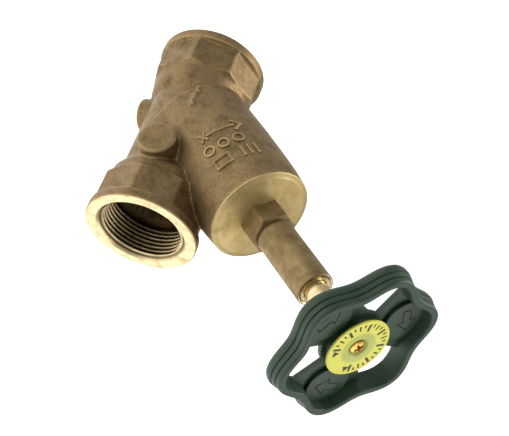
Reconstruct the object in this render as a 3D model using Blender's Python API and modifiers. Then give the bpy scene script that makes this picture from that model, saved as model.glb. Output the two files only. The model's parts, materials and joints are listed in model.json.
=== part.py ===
"""Slanted-seat globe valve, DN 32, gunmetal, with a rising stem and a lobed handwheel.

Frame: the pipe axis is X, water flows towards +X, and the origin is on the pipe axis
midway between the two end faces.  The bonnet axis leaves the pipe axis at SEAT_CROSSING
and leans from vertical towards +X in the XZ plane.  Everything on the bonnet axis is
placed by its height h along that axis, in the frame of the empty "bonnet_axis".
The model stands as it is when nearly fully open.
"""
import math

import bmesh
import bpy
from mathutils import Matrix, Vector

MM = 0.001
GAP = 0.3 * MM                      # between pieces that touch

# ------------------------------------------------------------------ driving sizes
# Body casting
FACE_TO_FACE = 110 * MM
COLLAR_RADIUS = 27.5 * MM           # round end collars
COLLAR_WIDTH = 5 * MM
WRENCH_FLATS = 50 * MM              # octagon, across flats
WRENCH_WIDTH = 16 * MM
WRENCH_ROUNDING = 2 * MM
WRENCH_CORE_PROUD = 0.4 * MM        # turned core under the flats stands out at their middles
WAIST_RADIUS = 20.8 * MM            # pipe wall between the octagons
WAIST_LENGTH = 5 * MM               # of the cone between an octagon and the waist
WAIST_START = 3 * MM                # waist begins this far before the bonnet axis
CAST_EDGE = 0.5 * MM                # small chamfers on the casting
PASSAGE_RADIUS = 16.5 * MM          # water passage
SOCKET_RADIUS = 20.2 * MM           # Rp 1 1/4 at its pitch radius
SOCKET_DEPTH = 19 * MM
SOCKET_CHAMFER = 0.9 * MM
LEAN = math.radians(45)             # bonnet axis from vertical
SEAT_CROSSING = -17.4 * MM          # where the bonnet axis meets the pipe axis
BARREL_RADIUS = 26.7 * MM           # slanted branch
BARREL_START = 7 * MM
NECK_RADIUS = 24.9 * MM
NECK_TAPER = 8 * MM                 # length over which the branch narrows to the neck
NECK_SLOPE = 0.9 * MM               # the taper widens by this much below the neck
NECK_TOP = 74.6 * MM
BARREL_SLOPE = 0.3 * MM
BARREL_EDGE = 0.7 * MM
BARREL_ROOT = 3.5 * MM              # cone that runs from the branch into the waist
FLOOR_HEIGHT = 9 * MM               # chamber floor, carries the seat
FLOOR_CONE = 3 * MM                 # height of the chamber's conical floor edge
PARTITION = 7 * MM                  # wall between inlet and outlet passages
BOSS_RADIUS = 8.5 * MM
SIDE_BOSS_RADIUS = 9.3 * MM
SIDE_BOSS_TURN = math.radians(5)    # up from -Y
SIDE_BOSS_X = 19.5 * MM             # boss facing -Y on the outlet side
SIDE_BOSS_REACH = 28.5 * MM
LOWER_BOSS_X = -17.8 * MM           # boss facing -Z under the seat
LOWER_BOSS_REACH = 26.4 * MM
BOSS_ROUNDING = 1.2 * MM

# Seat
SEAT_RADIUS = 14.5 * MM
CHAMBER_RADIUS = SEAT_RADIUS + 5.5 * MM   # leaves room round the plug
SEAT_RING_WALL = 1.5 * MM
SEAT_LIP_WIDTH = 1.2 * MM           # lip stands out over the chamber floor
SEAT_LIP_HEIGHT = 1 * MM
SEAT_LIP_CHAMFER = 0.3 * MM
SEAT_RING_RECESS = 2 * MM           # ring ends this far inside the partition

# Bonnet
STEM_RADIUS = 5.5 * MM
SPIGOT_LENGTH = 14 * MM             # screwed into the neck
SPIGOT_CHAMFER = 1 * MM
SPIGOT_CONE = 3 * MM                # from the spigot's end down to the nose
FLANGE_GROOVE = 1.7 * MM            # depth of the groove for the bonnet's O-ring
FLANGE_SEAL_DROP = 2.6 * MM         # O-ring below the flange
FLANGE_EDGE = 0.9 * MM
FLANGE_BEVEL = 0.8 * MM
FLANGE_BEVEL_WIDTH = 2.6 * MM
FLANGE_DOME = 2.6 * MM              # rise of the flange face towards the hexagon
GLAND_RADIUS = STEM_RADIUS + 2.2 * MM
TUBE_RADIUS = GLAND_RADIUS + 1.3 * MM
HEX_FLATS = 2 * TUBE_RADIUS + 2 * MM
HEX_HEIGHT = 11 * MM
HEX_TURN = math.radians(-15)
TUBE_TOP = 127.2 * MM
TUBE_LIP = 0.6 * MM
NOSE_RADIUS = STEM_RADIUS + 7 * MM      # lower end, holds the stem seals
NOSE_BOTTOM = 46 * MM
LOWER_SEAL_RISES = (3.4 * MM, 7.8 * MM)     # two stem seals above the nose's end
GUIDE_RISE = 12 * MM                # guide bush above the nose's end
GUIDE_ROOM = 8 * MM                 # height of the bush's chamber
GLAND_DEPTH = 13.1 * MM             # counterbore at the top of the tube
GLAND_NUT_INSET = 0.2 * MM          # screwed into the tube, just below its end

# Stem
THREAD_RADIUS = STEM_RADIUS + 1.2 * MM  # stem thread as a plain rod
THREAD_PITCH = 4 * MM
THREAD_START = 82 * MM
THREAD_LENGTH = 30 * MM
COLLAR_SPREAD = 1.3 * MM            # stem collar inside the plug
STEM_COLLAR_HEIGHT = 3.5 * MM
STEM_TIP_CONE = 0.6 * MM
SQUARE_SIDE = 8 * MM
SQUARE_LENGTH = 9 * MM
TAPPED_RADIUS = 2.5 * MM
TAPPED_DEPTH = 12 * MM

# Seals and small rings
SEAL_HALF = 0.8 * MM                # half of an O-ring's thickness
SEAL_ROOM = 0.4 * MM                # side play in its groove
RING_THICKNESS = 1 * MM
CIRCLIP_THICKNESS = 0.8 * MM
CIRCLIP_SLOT = 4 * MM
BUSH_LENGTH = 4 * MM

# Plug
CLOSING_TRAVEL = 14 * MM            # from this position down to the seat
SEALING_GAP = 0.1 * MM              # left under the washer when closed
PLUG_OVERHANG = 2.8 * MM            # plug beyond the seat bore
WASHER_THICKNESS = 3 * MM
WASHER_INSET = 0.5 * MM
PLATE_THICKNESS = 1.2 * MM
PLATE_CLEARANCE = 2 * MM            # plate inside the seat bore
PLUG_PLATE = 4 * MM
PLUG_CHAMFER = 1 * MM
PLUG_SLOPE = 2 * MM                 # plate's top rises by this much to the hub
PLUG_HUB_CHAMFER = 0.7 * MM
SOCKET_FLOOR_WALL = 2.3 * MM        # under the stem's collar
STEM_END_PLAY = 0.6 * MM
KEEPER_GROOVE_DEPTH = 1.1 * MM
PLUG_RIM = 2.4 * MM                 # above the keeper ring
PLUG_HUB_RADIUS = 10 * MM
SPIGOT_RADIUS = 5.7 * MM            # carries the washer
SPIGOT_THREAD = 4.5 * MM
SPIGOT_END = 1 * MM                 # spigot beyond its nut
SPIGOT_END_CHAMFER = 0.5 * MM
NUT_FLATS = 16 * MM
NUT_HEIGHT = 3.8 * MM

# Handwheel
WHEEL_TOP = 165.1 * MM              # front of the rim
WHEEL_HEIGHT = 9.8 * MM
WHEEL_RADIUS = 37.1 * MM            # mean of the widest outline
WHEEL_DRAFT = 1.5 * MM              # mean outline is this much smaller at the front
RIM_WIDTH = 3.6 * MM                # at the front
RIM_EDGE = 0.9 * MM
RIM_SHOULDER = 0.5 * MM             # outer wall swells by this much behind the front
RIM_SHOULDER_DROP = 3.9 * MM
RIM_WIDEST = 2.9 * MM               # widest outline above the rim's back
LOBES = 6
LOBE_DEPTH = 2.8 * MM
LOBE_TURN = math.radians(50)
WEB_DROP = 7 * MM                   # web plate below the rim's front
WEB_THICKNESS = 2.2 * MM
WINDOW_ANGLE = math.radians(41)     # three windows, in every second lobe
PAD_RADIUS = 10.7 * MM              # three raised pads, in the other lobes
PAD_DROP = 5.2 * MM
PAD_ROOT = 0.8 * MM                 # pad edge sunk into the rim
WEB_COLLAR = 15.3 * MM              # inner edge of the windows
HUB_RADIUS = 13.4 * MM
HUB_HEIGHT = 15.4 * MM
HUB_CHAMFER = 1 * MM
INSERT_RADIUS = 9 * MM
LABEL_RADIUS = 15.2 * MM
LABEL_THICKNESS = 0.9 * MM
LABEL_DROP = 2 * MM                 # label face below the rim's front
LABEL_EDGE = 0.3 * MM
LABEL_BOSS_HEIGHT = 1.4 * MM        # boss under the label, round the screw
LABEL_BOSS_WALL = 2 * MM
SCREW_RADIUS = 2.2 * MM
SCREW_HEAD_RADIUS = 3.8 * MM
SCREW_HEAD_SINK = 0.5 * MM          # widest part of the head below the label's face
SCREW_HEAD_PROUD = 0.3 * MM
SCREW_HEAD_CROWN = 2.3 * MM         # radius where the head's top starts to fall
SCREW_RECESS = 1.2 * MM             # depth of the cross
CROSS_LENGTH = 4.2 * MM
CROSS_WIDTH = 1.2 * MM
SCREW_LENGTH = 14.4 * MM            # over all
SCREW_POINT = 0.6 * MM
SPRING_THICKNESS = 1.6 * MM

# Roundness of turned pieces
FINE = 40
MEDIUM = 28
COARSE = 20
SEAL_SIDES = 6
RIM_STEPS = 60

# ------------------------------------------------------------------ derived sizes
END_X = FACE_TO_FACE / 2
WRENCH_END = END_X - COLLAR_WIDTH
WRENCH_START = WRENCH_END - WRENCH_WIDTH
WRENCH_CORE = WRENCH_FLATS / 2 + WRENCH_CORE_PROUD
FLOOR_RADIUS = SEAT_RADIUS + SEAT_RING_WALL + GAP + SEAT_LIP_WIDTH + 2 * GAP
SEAT_HOLE = SEAT_RADIUS + SEAT_RING_WALL + GAP
SEAT_LIP = FLOOR_HEIGHT + GAP + SEAT_LIP_HEIGHT
STEM_HOLE = STEM_RADIUS + GAP
SEAL_CENTRE = STEM_HOLE + SEAL_HALF
SEAL_GROOVE = SEAL_CENTRE + SEAL_HALF + GAP
GROOVE_HALF = SEAL_HALF + SEAL_ROOM
BUSH_RADIUS = GLAND_RADIUS - GAP
THREAD_HOLE = THREAD_RADIUS + GAP
FLANGE_BOTTOM = NECK_TOP + GAP
HEX_BOTTOM = FLANGE_BOTTOM + FLANGE_EDGE + FLANGE_DOME
SPIGOT_BOTTOM = FLANGE_BOTTOM - SPIGOT_LENGTH
SPIGOT_OUTER = CHAMBER_RADIUS - GAP
FLANGE_SEAL_HALF = (FLANGE_GROOVE - GAP) / 2
FLANGE_SEAL_HEIGHT = FLANGE_BOTTOM - FLANGE_SEAL_DROP
LOWER_SEALS = [NOSE_BOTTOM + rise for rise in LOWER_SEAL_RISES]
GUIDE_FLOOR = NOSE_BOTTOM + GUIDE_RISE
GUIDE_ROOM_TOP = GUIDE_FLOOR + GUIDE_ROOM
GLAND_FLOOR = TUBE_TOP - GLAND_DEPTH
GLAND_SEAL = GLAND_FLOOR + GAP + BUSH_LENGTH + GAP + SEAL_HALF
WIPER_BOTTOM = GLAND_SEAL + SEAL_HALF + GAP
GLAND_NUT_BOTTOM = WIPER_BOTTOM + RING_THICKNESS + GAP
WASHER_BOTTOM = SEAT_LIP + CLOSING_TRAVEL + SEALING_GAP
PLUG_BOTTOM = WASHER_BOTTOM + WASHER_THICKNESS + GAP
PLATE_BOTTOM = WASHER_BOTTOM - GAP - PLATE_THICKNESS
NUT_BOTTOM = PLATE_BOTTOM - GAP - NUT_HEIGHT
PLUG_RADIUS = SEAT_RADIUS + PLUG_OVERHANG
SOCKET_FLOOR = PLUG_BOTTOM + PLUG_PLATE + SOCKET_FLOOR_WALL
STEM_TIP = SOCKET_FLOOR + STEM_END_PLAY
COLLAR_BOTTOM = STEM_TIP + STEM_TIP_CONE
COLLAR_TOP = COLLAR_BOTTOM + STEM_COLLAR_HEIGHT
COLLAR_OUTER = STEM_RADIUS + COLLAR_SPREAD
PLUG_SOCKET = COLLAR_OUTER + GAP
SLIDE_BOTTOM = COLLAR_TOP + GAP
SLIDE_TOP = SLIDE_BOTTOM + RING_THICKNESS
KEEPER_BOTTOM = SLIDE_TOP + GAP
KEEPER_GROOVE = PLUG_SOCKET + KEEPER_GROOVE_DEPTH
PLUG_TOP = KEEPER_BOTTOM + CIRCLIP_THICKNESS + PLUG_RIM
LABEL_TOP = WHEEL_TOP - LABEL_DROP
LABEL_BOTTOM = LABEL_TOP - LABEL_THICKNESS
LABEL_BOSS = LABEL_BOTTOM - LABEL_BOSS_HEIGHT
HUB_TOP = LABEL_BOTTOM - GAP
HUB_BOTTOM = HUB_TOP - HUB_HEIGHT
SPRING_BOTTOM = LABEL_BOSS - GAP - SPRING_THICKNESS
STEM_TOP = SPRING_BOTTOM - GAP
SQUARE_BOTTOM = STEM_TOP - SQUARE_LENGTH
WEB_TOP = WHEEL_TOP - WEB_DROP
WEB_BOTTOM = WEB_TOP - WEB_THICKNESS
PAD_TOP = WHEEL_TOP - PAD_DROP
RIM_INNER = WHEEL_RADIUS - WHEEL_DRAFT - RIM_WIDTH
PAD_DISTANCE = RIM_INNER + LOBE_DEPTH + PAD_ROOT - PAD_RADIUS

GUNMETAL = (0.25, 0.17, 0.075)
BRASS = (0.62, 0.44, 0.17)
STEEL = (0.55, 0.55, 0.53)
RUBBER = (0.015, 0.015, 0.015)
GREEN = (0.02, 0.055, 0.03)
YELLOW = (0.68, 0.65, 0.07)
WHITE = (0.75, 0.75, 0.7)


# ------------------------------------------------------------------ tools
def clear_scene():
    for obj in list(bpy.data.objects):
        bpy.data.objects.remove(obj, do_unlink=True)


def collection(name):
    group = bpy.data.collections.new(name)
    bpy.context.scene.collection.children.link(group)
    return group


def place(obj, group, parent=None, location=(0, 0, 0), rotation=(0, 0, 0)):
    """Moves an object into a collection and sets where it stands under its parent."""
    for old in list(obj.users_collection):
        old.objects.unlink(obj)
    group.objects.link(obj)
    obj.parent = parent
    obj.location = location
    obj.rotation_euler = rotation
    return obj


def finish(obj, colour, roughness, metallic=0.0):
    material = bpy.data.materials.new(obj.name)
    material.use_nodes = True
    shader = material.node_tree.nodes["Principled BSDF"]
    shader.inputs["Base Color"].default_value = (*colour, 1)
    shader.inputs["Roughness"].default_value = roughness
    shader.inputs["Metallic"].default_value = metallic
    obj.data.materials.clear()
    obj.data.materials.append(material)
    obj.data.shade_smooth()
    obj.data.set_sharp_from_angle(angle=math.radians(35))


def turned(name, outline, closed, steps):
    """A body of revolution about Z from (radius, height) points, down its outer side."""
    mesh = bpy.data.meshes.new(name)
    edges = [(i, i + 1) for i in range(len(outline) - 1)]
    if closed:
        edges.append((len(outline) - 1, 0))
    mesh.from_pydata([(radius, 0, height) for radius, height in outline], edges, [])
    obj = bpy.data.objects.new(name, mesh)
    bpy.context.scene.collection.objects.link(obj)
    screw = obj.modifiers.new("turn", "SCREW")
    screw.steps = steps
    screw.render_steps = steps
    screw.use_merge_vertices = True
    screw.merge_threshold = 0.00001
    return obj


def ring(name, inner, outer, bottom, top, steps=COARSE):
    """A flat ring or a bush."""
    outline = [(outer, top), (outer, bottom), (inner, bottom), (inner, top)]
    return turned(name, outline, True, steps)


def rod(name, radius, bottom, top, steps=COARSE):
    outline = [(0, top), (radius, top), (radius, bottom), (0, bottom)]
    return turned(name, outline, False, steps)


def seal(name, centre, half, height):
    """A round-section ring lying square to the axis."""
    angles = [-2 * math.pi * i / SEAL_SIDES for i in range(SEAL_SIDES)]
    outline = [(centre + half * math.cos(a), height + half * math.sin(a)) for a in angles]
    return turned(name, outline, True, COARSE)


def prism(name, flats, sides, bottom, top, turn=0.0):
    """A regular prism, given across its flats, with a corner at angle turn."""
    radius = flats / 2 / math.cos(math.pi / sides)
    bpy.ops.mesh.primitive_cylinder_add(vertices=sides, radius=radius, depth=top - bottom)
    obj = bpy.context.active_object
    obj.name = name
    spin = Matrix.Rotation(turn - math.pi / 2, 4, "Z")
    obj.data.transform(Matrix.Translation((0, 0, (top + bottom) / 2)) @ spin)
    return obj


def block(name, low, high):
    bpy.ops.mesh.primitive_cube_add(size=1)
    obj = bpy.context.active_object
    obj.name = name
    low = Vector(low)
    high = Vector(high)
    scale = Matrix.Diagonal((*(high - low), 1))
    obj.data.transform(Matrix.Translation((low + high) / 2) @ scale)
    return obj


def bake(obj):
    """Applies an object's own modifiers, and splits its faces so that none is bent."""
    graph = bpy.context.evaluated_depsgraph_get()
    mesh = bpy.data.meshes.new_from_object(obj.evaluated_get(graph))
    cage = bmesh.new()
    cage.from_mesh(mesh)
    bmesh.ops.triangulate(cage, faces=cage.faces)
    cage.to_mesh(mesh)
    cage.free()
    obj.modifiers.clear()
    obj.data = mesh
    return obj


def combine(obj, tool, operation):
    step = obj.modifiers.new(tool.name, "BOOLEAN")
    step.operation = operation
    step.solver = "EXACT"
    step.object = tool


def round_edges(obj, width, segments, angle=30):
    bevel = obj.modifiers.new("rounding", "BEVEL")
    bevel.width = width
    bevel.segments = segments
    bevel.limit_method = "ANGLE"
    bevel.angle_limit = math.radians(angle)


class Workshop:
    """Holds the collections and the bonnet axis, and stores pieces and tools in them."""

    def __init__(self):
        self.parts = collection("slanted_globe_valve")
        self.tools = collection("cutters")
        self.axis = bpy.data.objects.new("bonnet_axis", None)
        self.parts.objects.link(self.axis)
        self.axis.location = (SEAT_CROSSING, 0, 0)
        self.axis.rotation_euler = (0, LEAN, 0)

    def piece(self, obj, finish_values, on_axis=True):
        place(obj, self.parts, self.axis if on_axis else None)
        finish(obj, *finish_values)
        return obj

    def tool(self, obj, on_axis=True, location=(0, 0, 0), rotation=(0, 0, 0)):
        place(obj, self.tools, self.axis if on_axis else None, location, rotation)
        obj.hide_render = True
        obj.display_type = "WIRE"
        return obj

    def cut(self, obj, tool, on_axis=True, **where):
        combine(obj, self.tool(tool, on_axis, **where), "DIFFERENCE")

    def add(self, obj, tool, on_axis=True, **where):
        combine(obj, self.tool(tool, on_axis, **where), "UNION")


ALONG_X = (0, math.pi / 2, 0)
TOWARDS_SIDE_BOSS = (math.pi / 2 - SIDE_BOSS_TURN, 0, 0)
TOWARDS_MINUS_Z = (math.pi, 0, 0)


# ------------------------------------------------------------------ body
def pipe_run():
    """The straight pipe wall with its two collars, as a turned body along X."""
    waist_end = WRENCH_START - 2 * WAIST_LENGTH
    waist_start = SEAT_CROSSING - WAIST_START
    edge = CAST_EDGE
    outline = [
        (0, END_X),
        (COLLAR_RADIUS - edge, END_X),
        (COLLAR_RADIUS, END_X - edge),
        (COLLAR_RADIUS, WRENCH_END),
        (WRENCH_CORE, WRENCH_END - edge),
        (WRENCH_CORE, WRENCH_START),
        (WRENCH_CORE - edge, waist_end + WAIST_LENGTH),
        (WAIST_RADIUS, waist_end),
        (WAIST_RADIUS, waist_start),
        (WRENCH_CORE - 3 * edge, waist_start - WAIST_LENGTH + 2 * edge),
        (WRENCH_CORE, -WRENCH_START),
        (WRENCH_CORE, edge - WRENCH_END),
        (COLLAR_RADIUS, -WRENCH_END),
        (COLLAR_RADIUS, edge - END_X),
        (COLLAR_RADIUS - edge, -END_X),
        (0, -END_X),
    ]
    return turned("valve_body", outline, False, FINE)


def octagon(name, start, end):
    """One wrench grip, with its corners on the Y and Z axes and rounded."""
    obj = prism(name, WRENCH_FLATS, 8, start - GAP, end + GAP)
    round_edges(obj, WRENCH_ROUNDING, 2)
    return obj


def barrel():
    """The slanted branch that the bonnet screws into."""
    taper_start = NECK_TOP - NECK_TAPER
    middle = (BARREL_START + taper_start) / 2
    root = BARREL_START - BARREL_ROOT
    outline = [
        (0, NECK_TOP),
        (NECK_RADIUS, NECK_TOP),
        (NECK_RADIUS + NECK_SLOPE, taper_start),
        (BARREL_RADIUS - BARREL_SLOPE, (middle + taper_start) / 2),
        (BARREL_RADIUS, middle),
        (BARREL_RADIUS, BARREL_START + BARREL_EDGE),
        (BARREL_RADIUS - BARREL_EDGE, BARREL_START),
        (WAIST_RADIUS, root),
        (0, root),
    ]
    return turned("barrel", outline, False, FINE)


def boss(name, radius, reach):
    inset = BOSS_ROUNDING * (1 - math.cos(math.radians(45)))
    outline = [
        (0, reach),
        (radius - BOSS_ROUNDING, reach),
        (radius - inset, reach - inset),
        (radius, reach - BOSS_ROUNDING),
        (radius, PASSAGE_RADIUS + GAP),
        (0, PASSAGE_RADIUS + GAP),
    ]
    return turned(name, outline, False, MEDIUM)


def half_space(name, above, height):
    """A large block that fills all that is above or below a height on the bonnet axis."""
    reach = 2 * FACE_TO_FACE
    low, high = (height, reach) if above else (-reach, height)
    return block(name, (-reach, -reach, low), (reach, reach, high))


def passage(shop, name, side):
    """The water way between a socket and the seat, stopping at the partition wall."""
    inner = SEAT_CROSSING - 2 * PASSAGE_RADIUS if side > 0 else 0
    low = min(inner, side * END_X)
    high = max(2 * PASSAGE_RADIUS, side * END_X)
    tool = rod(name, PASSAGE_RADIUS, low - MM, high + MM, FINE)
    limit = FLOOR_HEIGHT + GAP if side > 0 else FLOOR_HEIGHT - PARTITION
    keep = shop.tool(half_space(name + "_limit", side > 0, limit))
    combine(tool, keep, "INTERSECT")
    return tool


def socket(name, side):
    """A pipe socket with its mouth chamfer; the thread is at its pitch radius."""
    inner = END_X - SOCKET_DEPTH
    mouth = SOCKET_RADIUS + SOCKET_CHAMFER
    outline = [
        (0, END_X + MM),
        (mouth + MM, END_X + MM),
        (mouth, END_X),
        (SOCKET_RADIUS, END_X - 1.5 * SOCKET_CHAMFER),
        (SOCKET_RADIUS, inner),
        (PASSAGE_RADIUS - GAP, inner - 1.5 * MM),
        (0, inner - 1.5 * MM),
    ]
    return turned(name, outline, False, FINE)


def chamber():
    """The bore above the seat, with a conical floor edge."""
    outline = [
        (0, NECK_TOP + MM),
        (CHAMBER_RADIUS, NECK_TOP + MM),
        (CHAMBER_RADIUS, FLOOR_HEIGHT + FLOOR_CONE),
        (FLOOR_RADIUS, FLOOR_HEIGHT),
        (0, FLOOR_HEIGHT),
    ]
    return turned("chamber", outline, False, FINE)


def make_body(shop):
    body = pipe_run()
    mesh_turn = Matrix.Rotation(math.pi / 2, 4, "Y")
    bake(body)
    body.data.transform(mesh_turn)
    shop.piece(body, (GUNMETAL, 0.55, 0.9), on_axis=False)
    grips = {"outlet_grip": (WRENCH_START, WRENCH_END), "inlet_grip": (-WRENCH_END, -WRENCH_START)}
    for name, (start, end) in grips.items():
        shop.add(body, octagon(name, start, end), on_axis=False, rotation=ALONG_X)
    shop.add(body, barrel())
    shop.add(body, boss("side_boss", SIDE_BOSS_RADIUS, SIDE_BOSS_REACH), on_axis=False,
             location=(SIDE_BOSS_X, 0, 0), rotation=TOWARDS_SIDE_BOSS)
    shop.add(body, boss("lower_boss", BOSS_RADIUS, LOWER_BOSS_REACH), on_axis=False,
             location=(LOWER_BOSS_X, 0, 0), rotation=TOWARDS_MINUS_Z)
    for name, side in (("outlet", 1), ("inlet", -1)):
        shop.cut(body, passage(shop, name + "_passage", side), on_axis=False, rotation=ALONG_X)
        turn = (0, side * math.pi / 2, 0)
        shop.cut(body, socket(name + "_socket", side), on_axis=False, rotation=turn)
    half_step = (0, 0, math.pi / FINE)
    shop.cut(body, chamber(), rotation=half_step)
    hole = rod("seat_hole", SEAT_HOLE, -SEAT_RADIUS / 3, FLOOR_HEIGHT + MM, MEDIUM)
    shop.cut(body, hole, rotation=half_step)
    return body


def make_seat_ring(shop):
    """A lipped ring pressed into the partition."""
    outer = SEAT_RADIUS + SEAT_RING_WALL
    lip_bottom = FLOOR_HEIGHT + GAP
    ring_bottom = FLOOR_HEIGHT - PARTITION + SEAT_RING_RECESS
    outline = [
        (outer + SEAT_LIP_WIDTH, SEAT_LIP - SEAT_LIP_CHAMFER),
        (outer + SEAT_LIP_WIDTH, lip_bottom),
        (outer, lip_bottom),
        (outer, ring_bottom),
        (SEAT_RADIUS, ring_bottom),
        (SEAT_RADIUS, SEAT_LIP),
        (outer, SEAT_LIP),
    ]
    shop.piece(turned("seat_ring", outline, True, FINE), (STEEL, 0.3, 1.0))


# ------------------------------------------------------------------ bonnet
def groove(radius, depth_radius, centre, half):
    """Four points of a square groove in a wall, from its lower edge upwards."""
    return [
        (radius, centre - half),
        (depth_radius, centre - half),
        (depth_radius, centre + half),
        (radius, centre + half),
    ]


def bonnet_outline():
    bevel_top = FLANGE_BOTTOM + FLANGE_EDGE + FLANGE_BEVEL
    outside = [
        (TUBE_RADIUS - TUBE_LIP, TUBE_TOP),
        (TUBE_RADIUS, TUBE_TOP - TUBE_LIP),
        (TUBE_RADIUS, HEX_BOTTOM),
        (NECK_RADIUS - FLANGE_BEVEL_WIDTH, bevel_top),
        (NECK_RADIUS, FLANGE_BOTTOM + FLANGE_EDGE),
        (NECK_RADIUS, FLANGE_BOTTOM),
    ]
    seal_groove = groove(SPIGOT_OUTER, SPIGOT_OUTER - FLANGE_GROOVE, FLANGE_SEAL_HEIGHT,
                         FLANGE_SEAL_HALF + SEAL_ROOM)
    spigot = [(SPIGOT_OUTER, FLANGE_BOTTOM)] + seal_groove[::-1]
    spigot += [
        (SPIGOT_OUTER, SPIGOT_BOTTOM + SPIGOT_CHAMFER),
        (SPIGOT_OUTER - SPIGOT_CHAMFER, SPIGOT_BOTTOM),
        (NOSE_RADIUS, SPIGOT_BOTTOM - SPIGOT_CONE),
        (NOSE_RADIUS, NOSE_BOTTOM + SPIGOT_CHAMFER),
        (NOSE_RADIUS - SPIGOT_CHAMFER, NOSE_BOTTOM),
    ]
    bore = [(STEM_HOLE, NOSE_BOTTOM)]
    for height in LOWER_SEALS:
        bore += groove(STEM_HOLE, SEAL_GROOVE, height, GROOVE_HALF)
    bore += [
        (STEM_HOLE, GUIDE_FLOOR),
        (GLAND_RADIUS, GUIDE_FLOOR),
        (GLAND_RADIUS, GUIDE_ROOM_TOP),
        (THREAD_HOLE, GUIDE_ROOM_TOP),
        (THREAD_HOLE, GLAND_FLOOR),
        (GLAND_RADIUS, GLAND_FLOOR),
    ]
    bore.append((GLAND_RADIUS, TUBE_TOP))
    return outside + spigot + bore


def make_bonnet(shop):
    bonnet = shop.piece(turned("bonnet", bonnet_outline(), True, FINE), (BRASS, 0.4, 1.0))
    grip = prism("bonnet_hexagon", HEX_FLATS, 6, HEX_BOTTOM - 2 * MM, HEX_BOTTOM + HEX_HEIGHT,
                 HEX_TURN)
    shop.cut(grip, rod("hexagon_core", TUBE_RADIUS - 0.5 * MM, 0, TUBE_TOP, FINE))
    shop.add(bonnet, grip)


def make_bonnet_seals(shop):
    rubber = (RUBBER, 0.6)
    bonnet_seal_centre = SPIGOT_OUTER - FLANGE_GROOVE + GAP + FLANGE_SEAL_HALF
    shop.piece(seal("bonnet_o_ring", bonnet_seal_centre, FLANGE_SEAL_HALF,
                    FLANGE_SEAL_HEIGHT), rubber)
    for name, height in zip(("lower_stem_o_ring", "upper_stem_o_ring"), LOWER_SEALS):
        shop.piece(seal(name, SEAL_CENTRE, SEAL_HALF, height), rubber)
    shop.piece(seal("gland_o_ring", SEAL_CENTRE, SEAL_HALF, GLAND_SEAL), rubber)


def make_bonnet_bushes(shop):
    guide_bottom = GUIDE_FLOOR + GAP
    shop.piece(ring("stem_guide_bush", STEM_HOLE, BUSH_RADIUS, guide_bottom,
                    guide_bottom + BUSH_LENGTH), (WHITE, 0.5))
    gland_bottom = GLAND_FLOOR + GAP
    shop.piece(ring("gland_bush", STEM_HOLE, BUSH_RADIUS, gland_bottom,
                    gland_bottom + BUSH_LENGTH), (BRASS, 0.35, 1.0))
    shop.piece(ring("wiper_ring", STEM_HOLE, BUSH_RADIUS, WIPER_BOTTOM,
                    WIPER_BOTTOM + RING_THICKNESS), (RUBBER, 0.5))
    shop.piece(ring("gland_nut", STEM_HOLE, BUSH_RADIUS, GLAND_NUT_BOTTOM,
                    TUBE_TOP - GLAND_NUT_INSET), (BRASS, 0.3, 1.0))


def split_ring(shop, name, inner, outer, bottom):
    """A spring ring with a slot, for a groove."""
    clip = ring(name, inner, outer, bottom, bottom + CIRCLIP_THICKNESS, MEDIUM)
    half_slot = CIRCLIP_SLOT / 2
    slot = block(name + "_slot", (0, -half_slot, bottom - MM),
                 (outer + MM, half_slot, bottom + CIRCLIP_THICKNESS + MM))
    shop.piece(clip, (STEEL, 0.3, 1.0))
    shop.cut(clip, slot)


def make_keeper_ring(shop):
    split_ring(shop, "plug_keeper_ring", STEM_HOLE, KEEPER_GROOVE - GAP, KEEPER_BOTTOM)


# ------------------------------------------------------------------ plug
def make_plug(shop):
    """Disc, washer spigot and the socket that the stem's collar turns in."""
    keeper_centre = KEEPER_BOTTOM + CIRCLIP_THICKNESS / 2
    plate_top = PLUG_BOTTOM + PLUG_PLATE
    thread_top = PLATE_BOTTOM + PLATE_THICKNESS + GAP
    spigot_end = NUT_BOTTOM - SPIGOT_END
    outline = [(0, SOCKET_FLOOR), (PLUG_SOCKET, SOCKET_FLOOR)]
    outline += groove(PLUG_SOCKET, KEEPER_GROOVE, keeper_centre, CIRCLIP_THICKNESS / 2 + GAP)
    outline += [
        (PLUG_SOCKET, PLUG_TOP),
        (PLUG_HUB_RADIUS - PLUG_HUB_CHAMFER, PLUG_TOP),
        (PLUG_HUB_RADIUS, PLUG_TOP - PLUG_HUB_CHAMFER),
        (PLUG_HUB_RADIUS, plate_top + PLUG_SLOPE),
        (PLUG_RADIUS - PLUG_CHAMFER, plate_top),
        (PLUG_RADIUS, plate_top - PLUG_CHAMFER),
        (PLUG_RADIUS, PLUG_BOTTOM),
        (SPIGOT_RADIUS, PLUG_BOTTOM),
        (SPIGOT_RADIUS, thread_top),
        (SPIGOT_THREAD, thread_top),
        (SPIGOT_THREAD, spigot_end + SPIGOT_END_CHAMFER),
        (SPIGOT_THREAD - SPIGOT_END_CHAMFER, spigot_end),
        (0, spigot_end),
    ]
    shop.piece(turned("plug", outline, False, MEDIUM), (BRASS, 0.4, 1.0))


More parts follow.
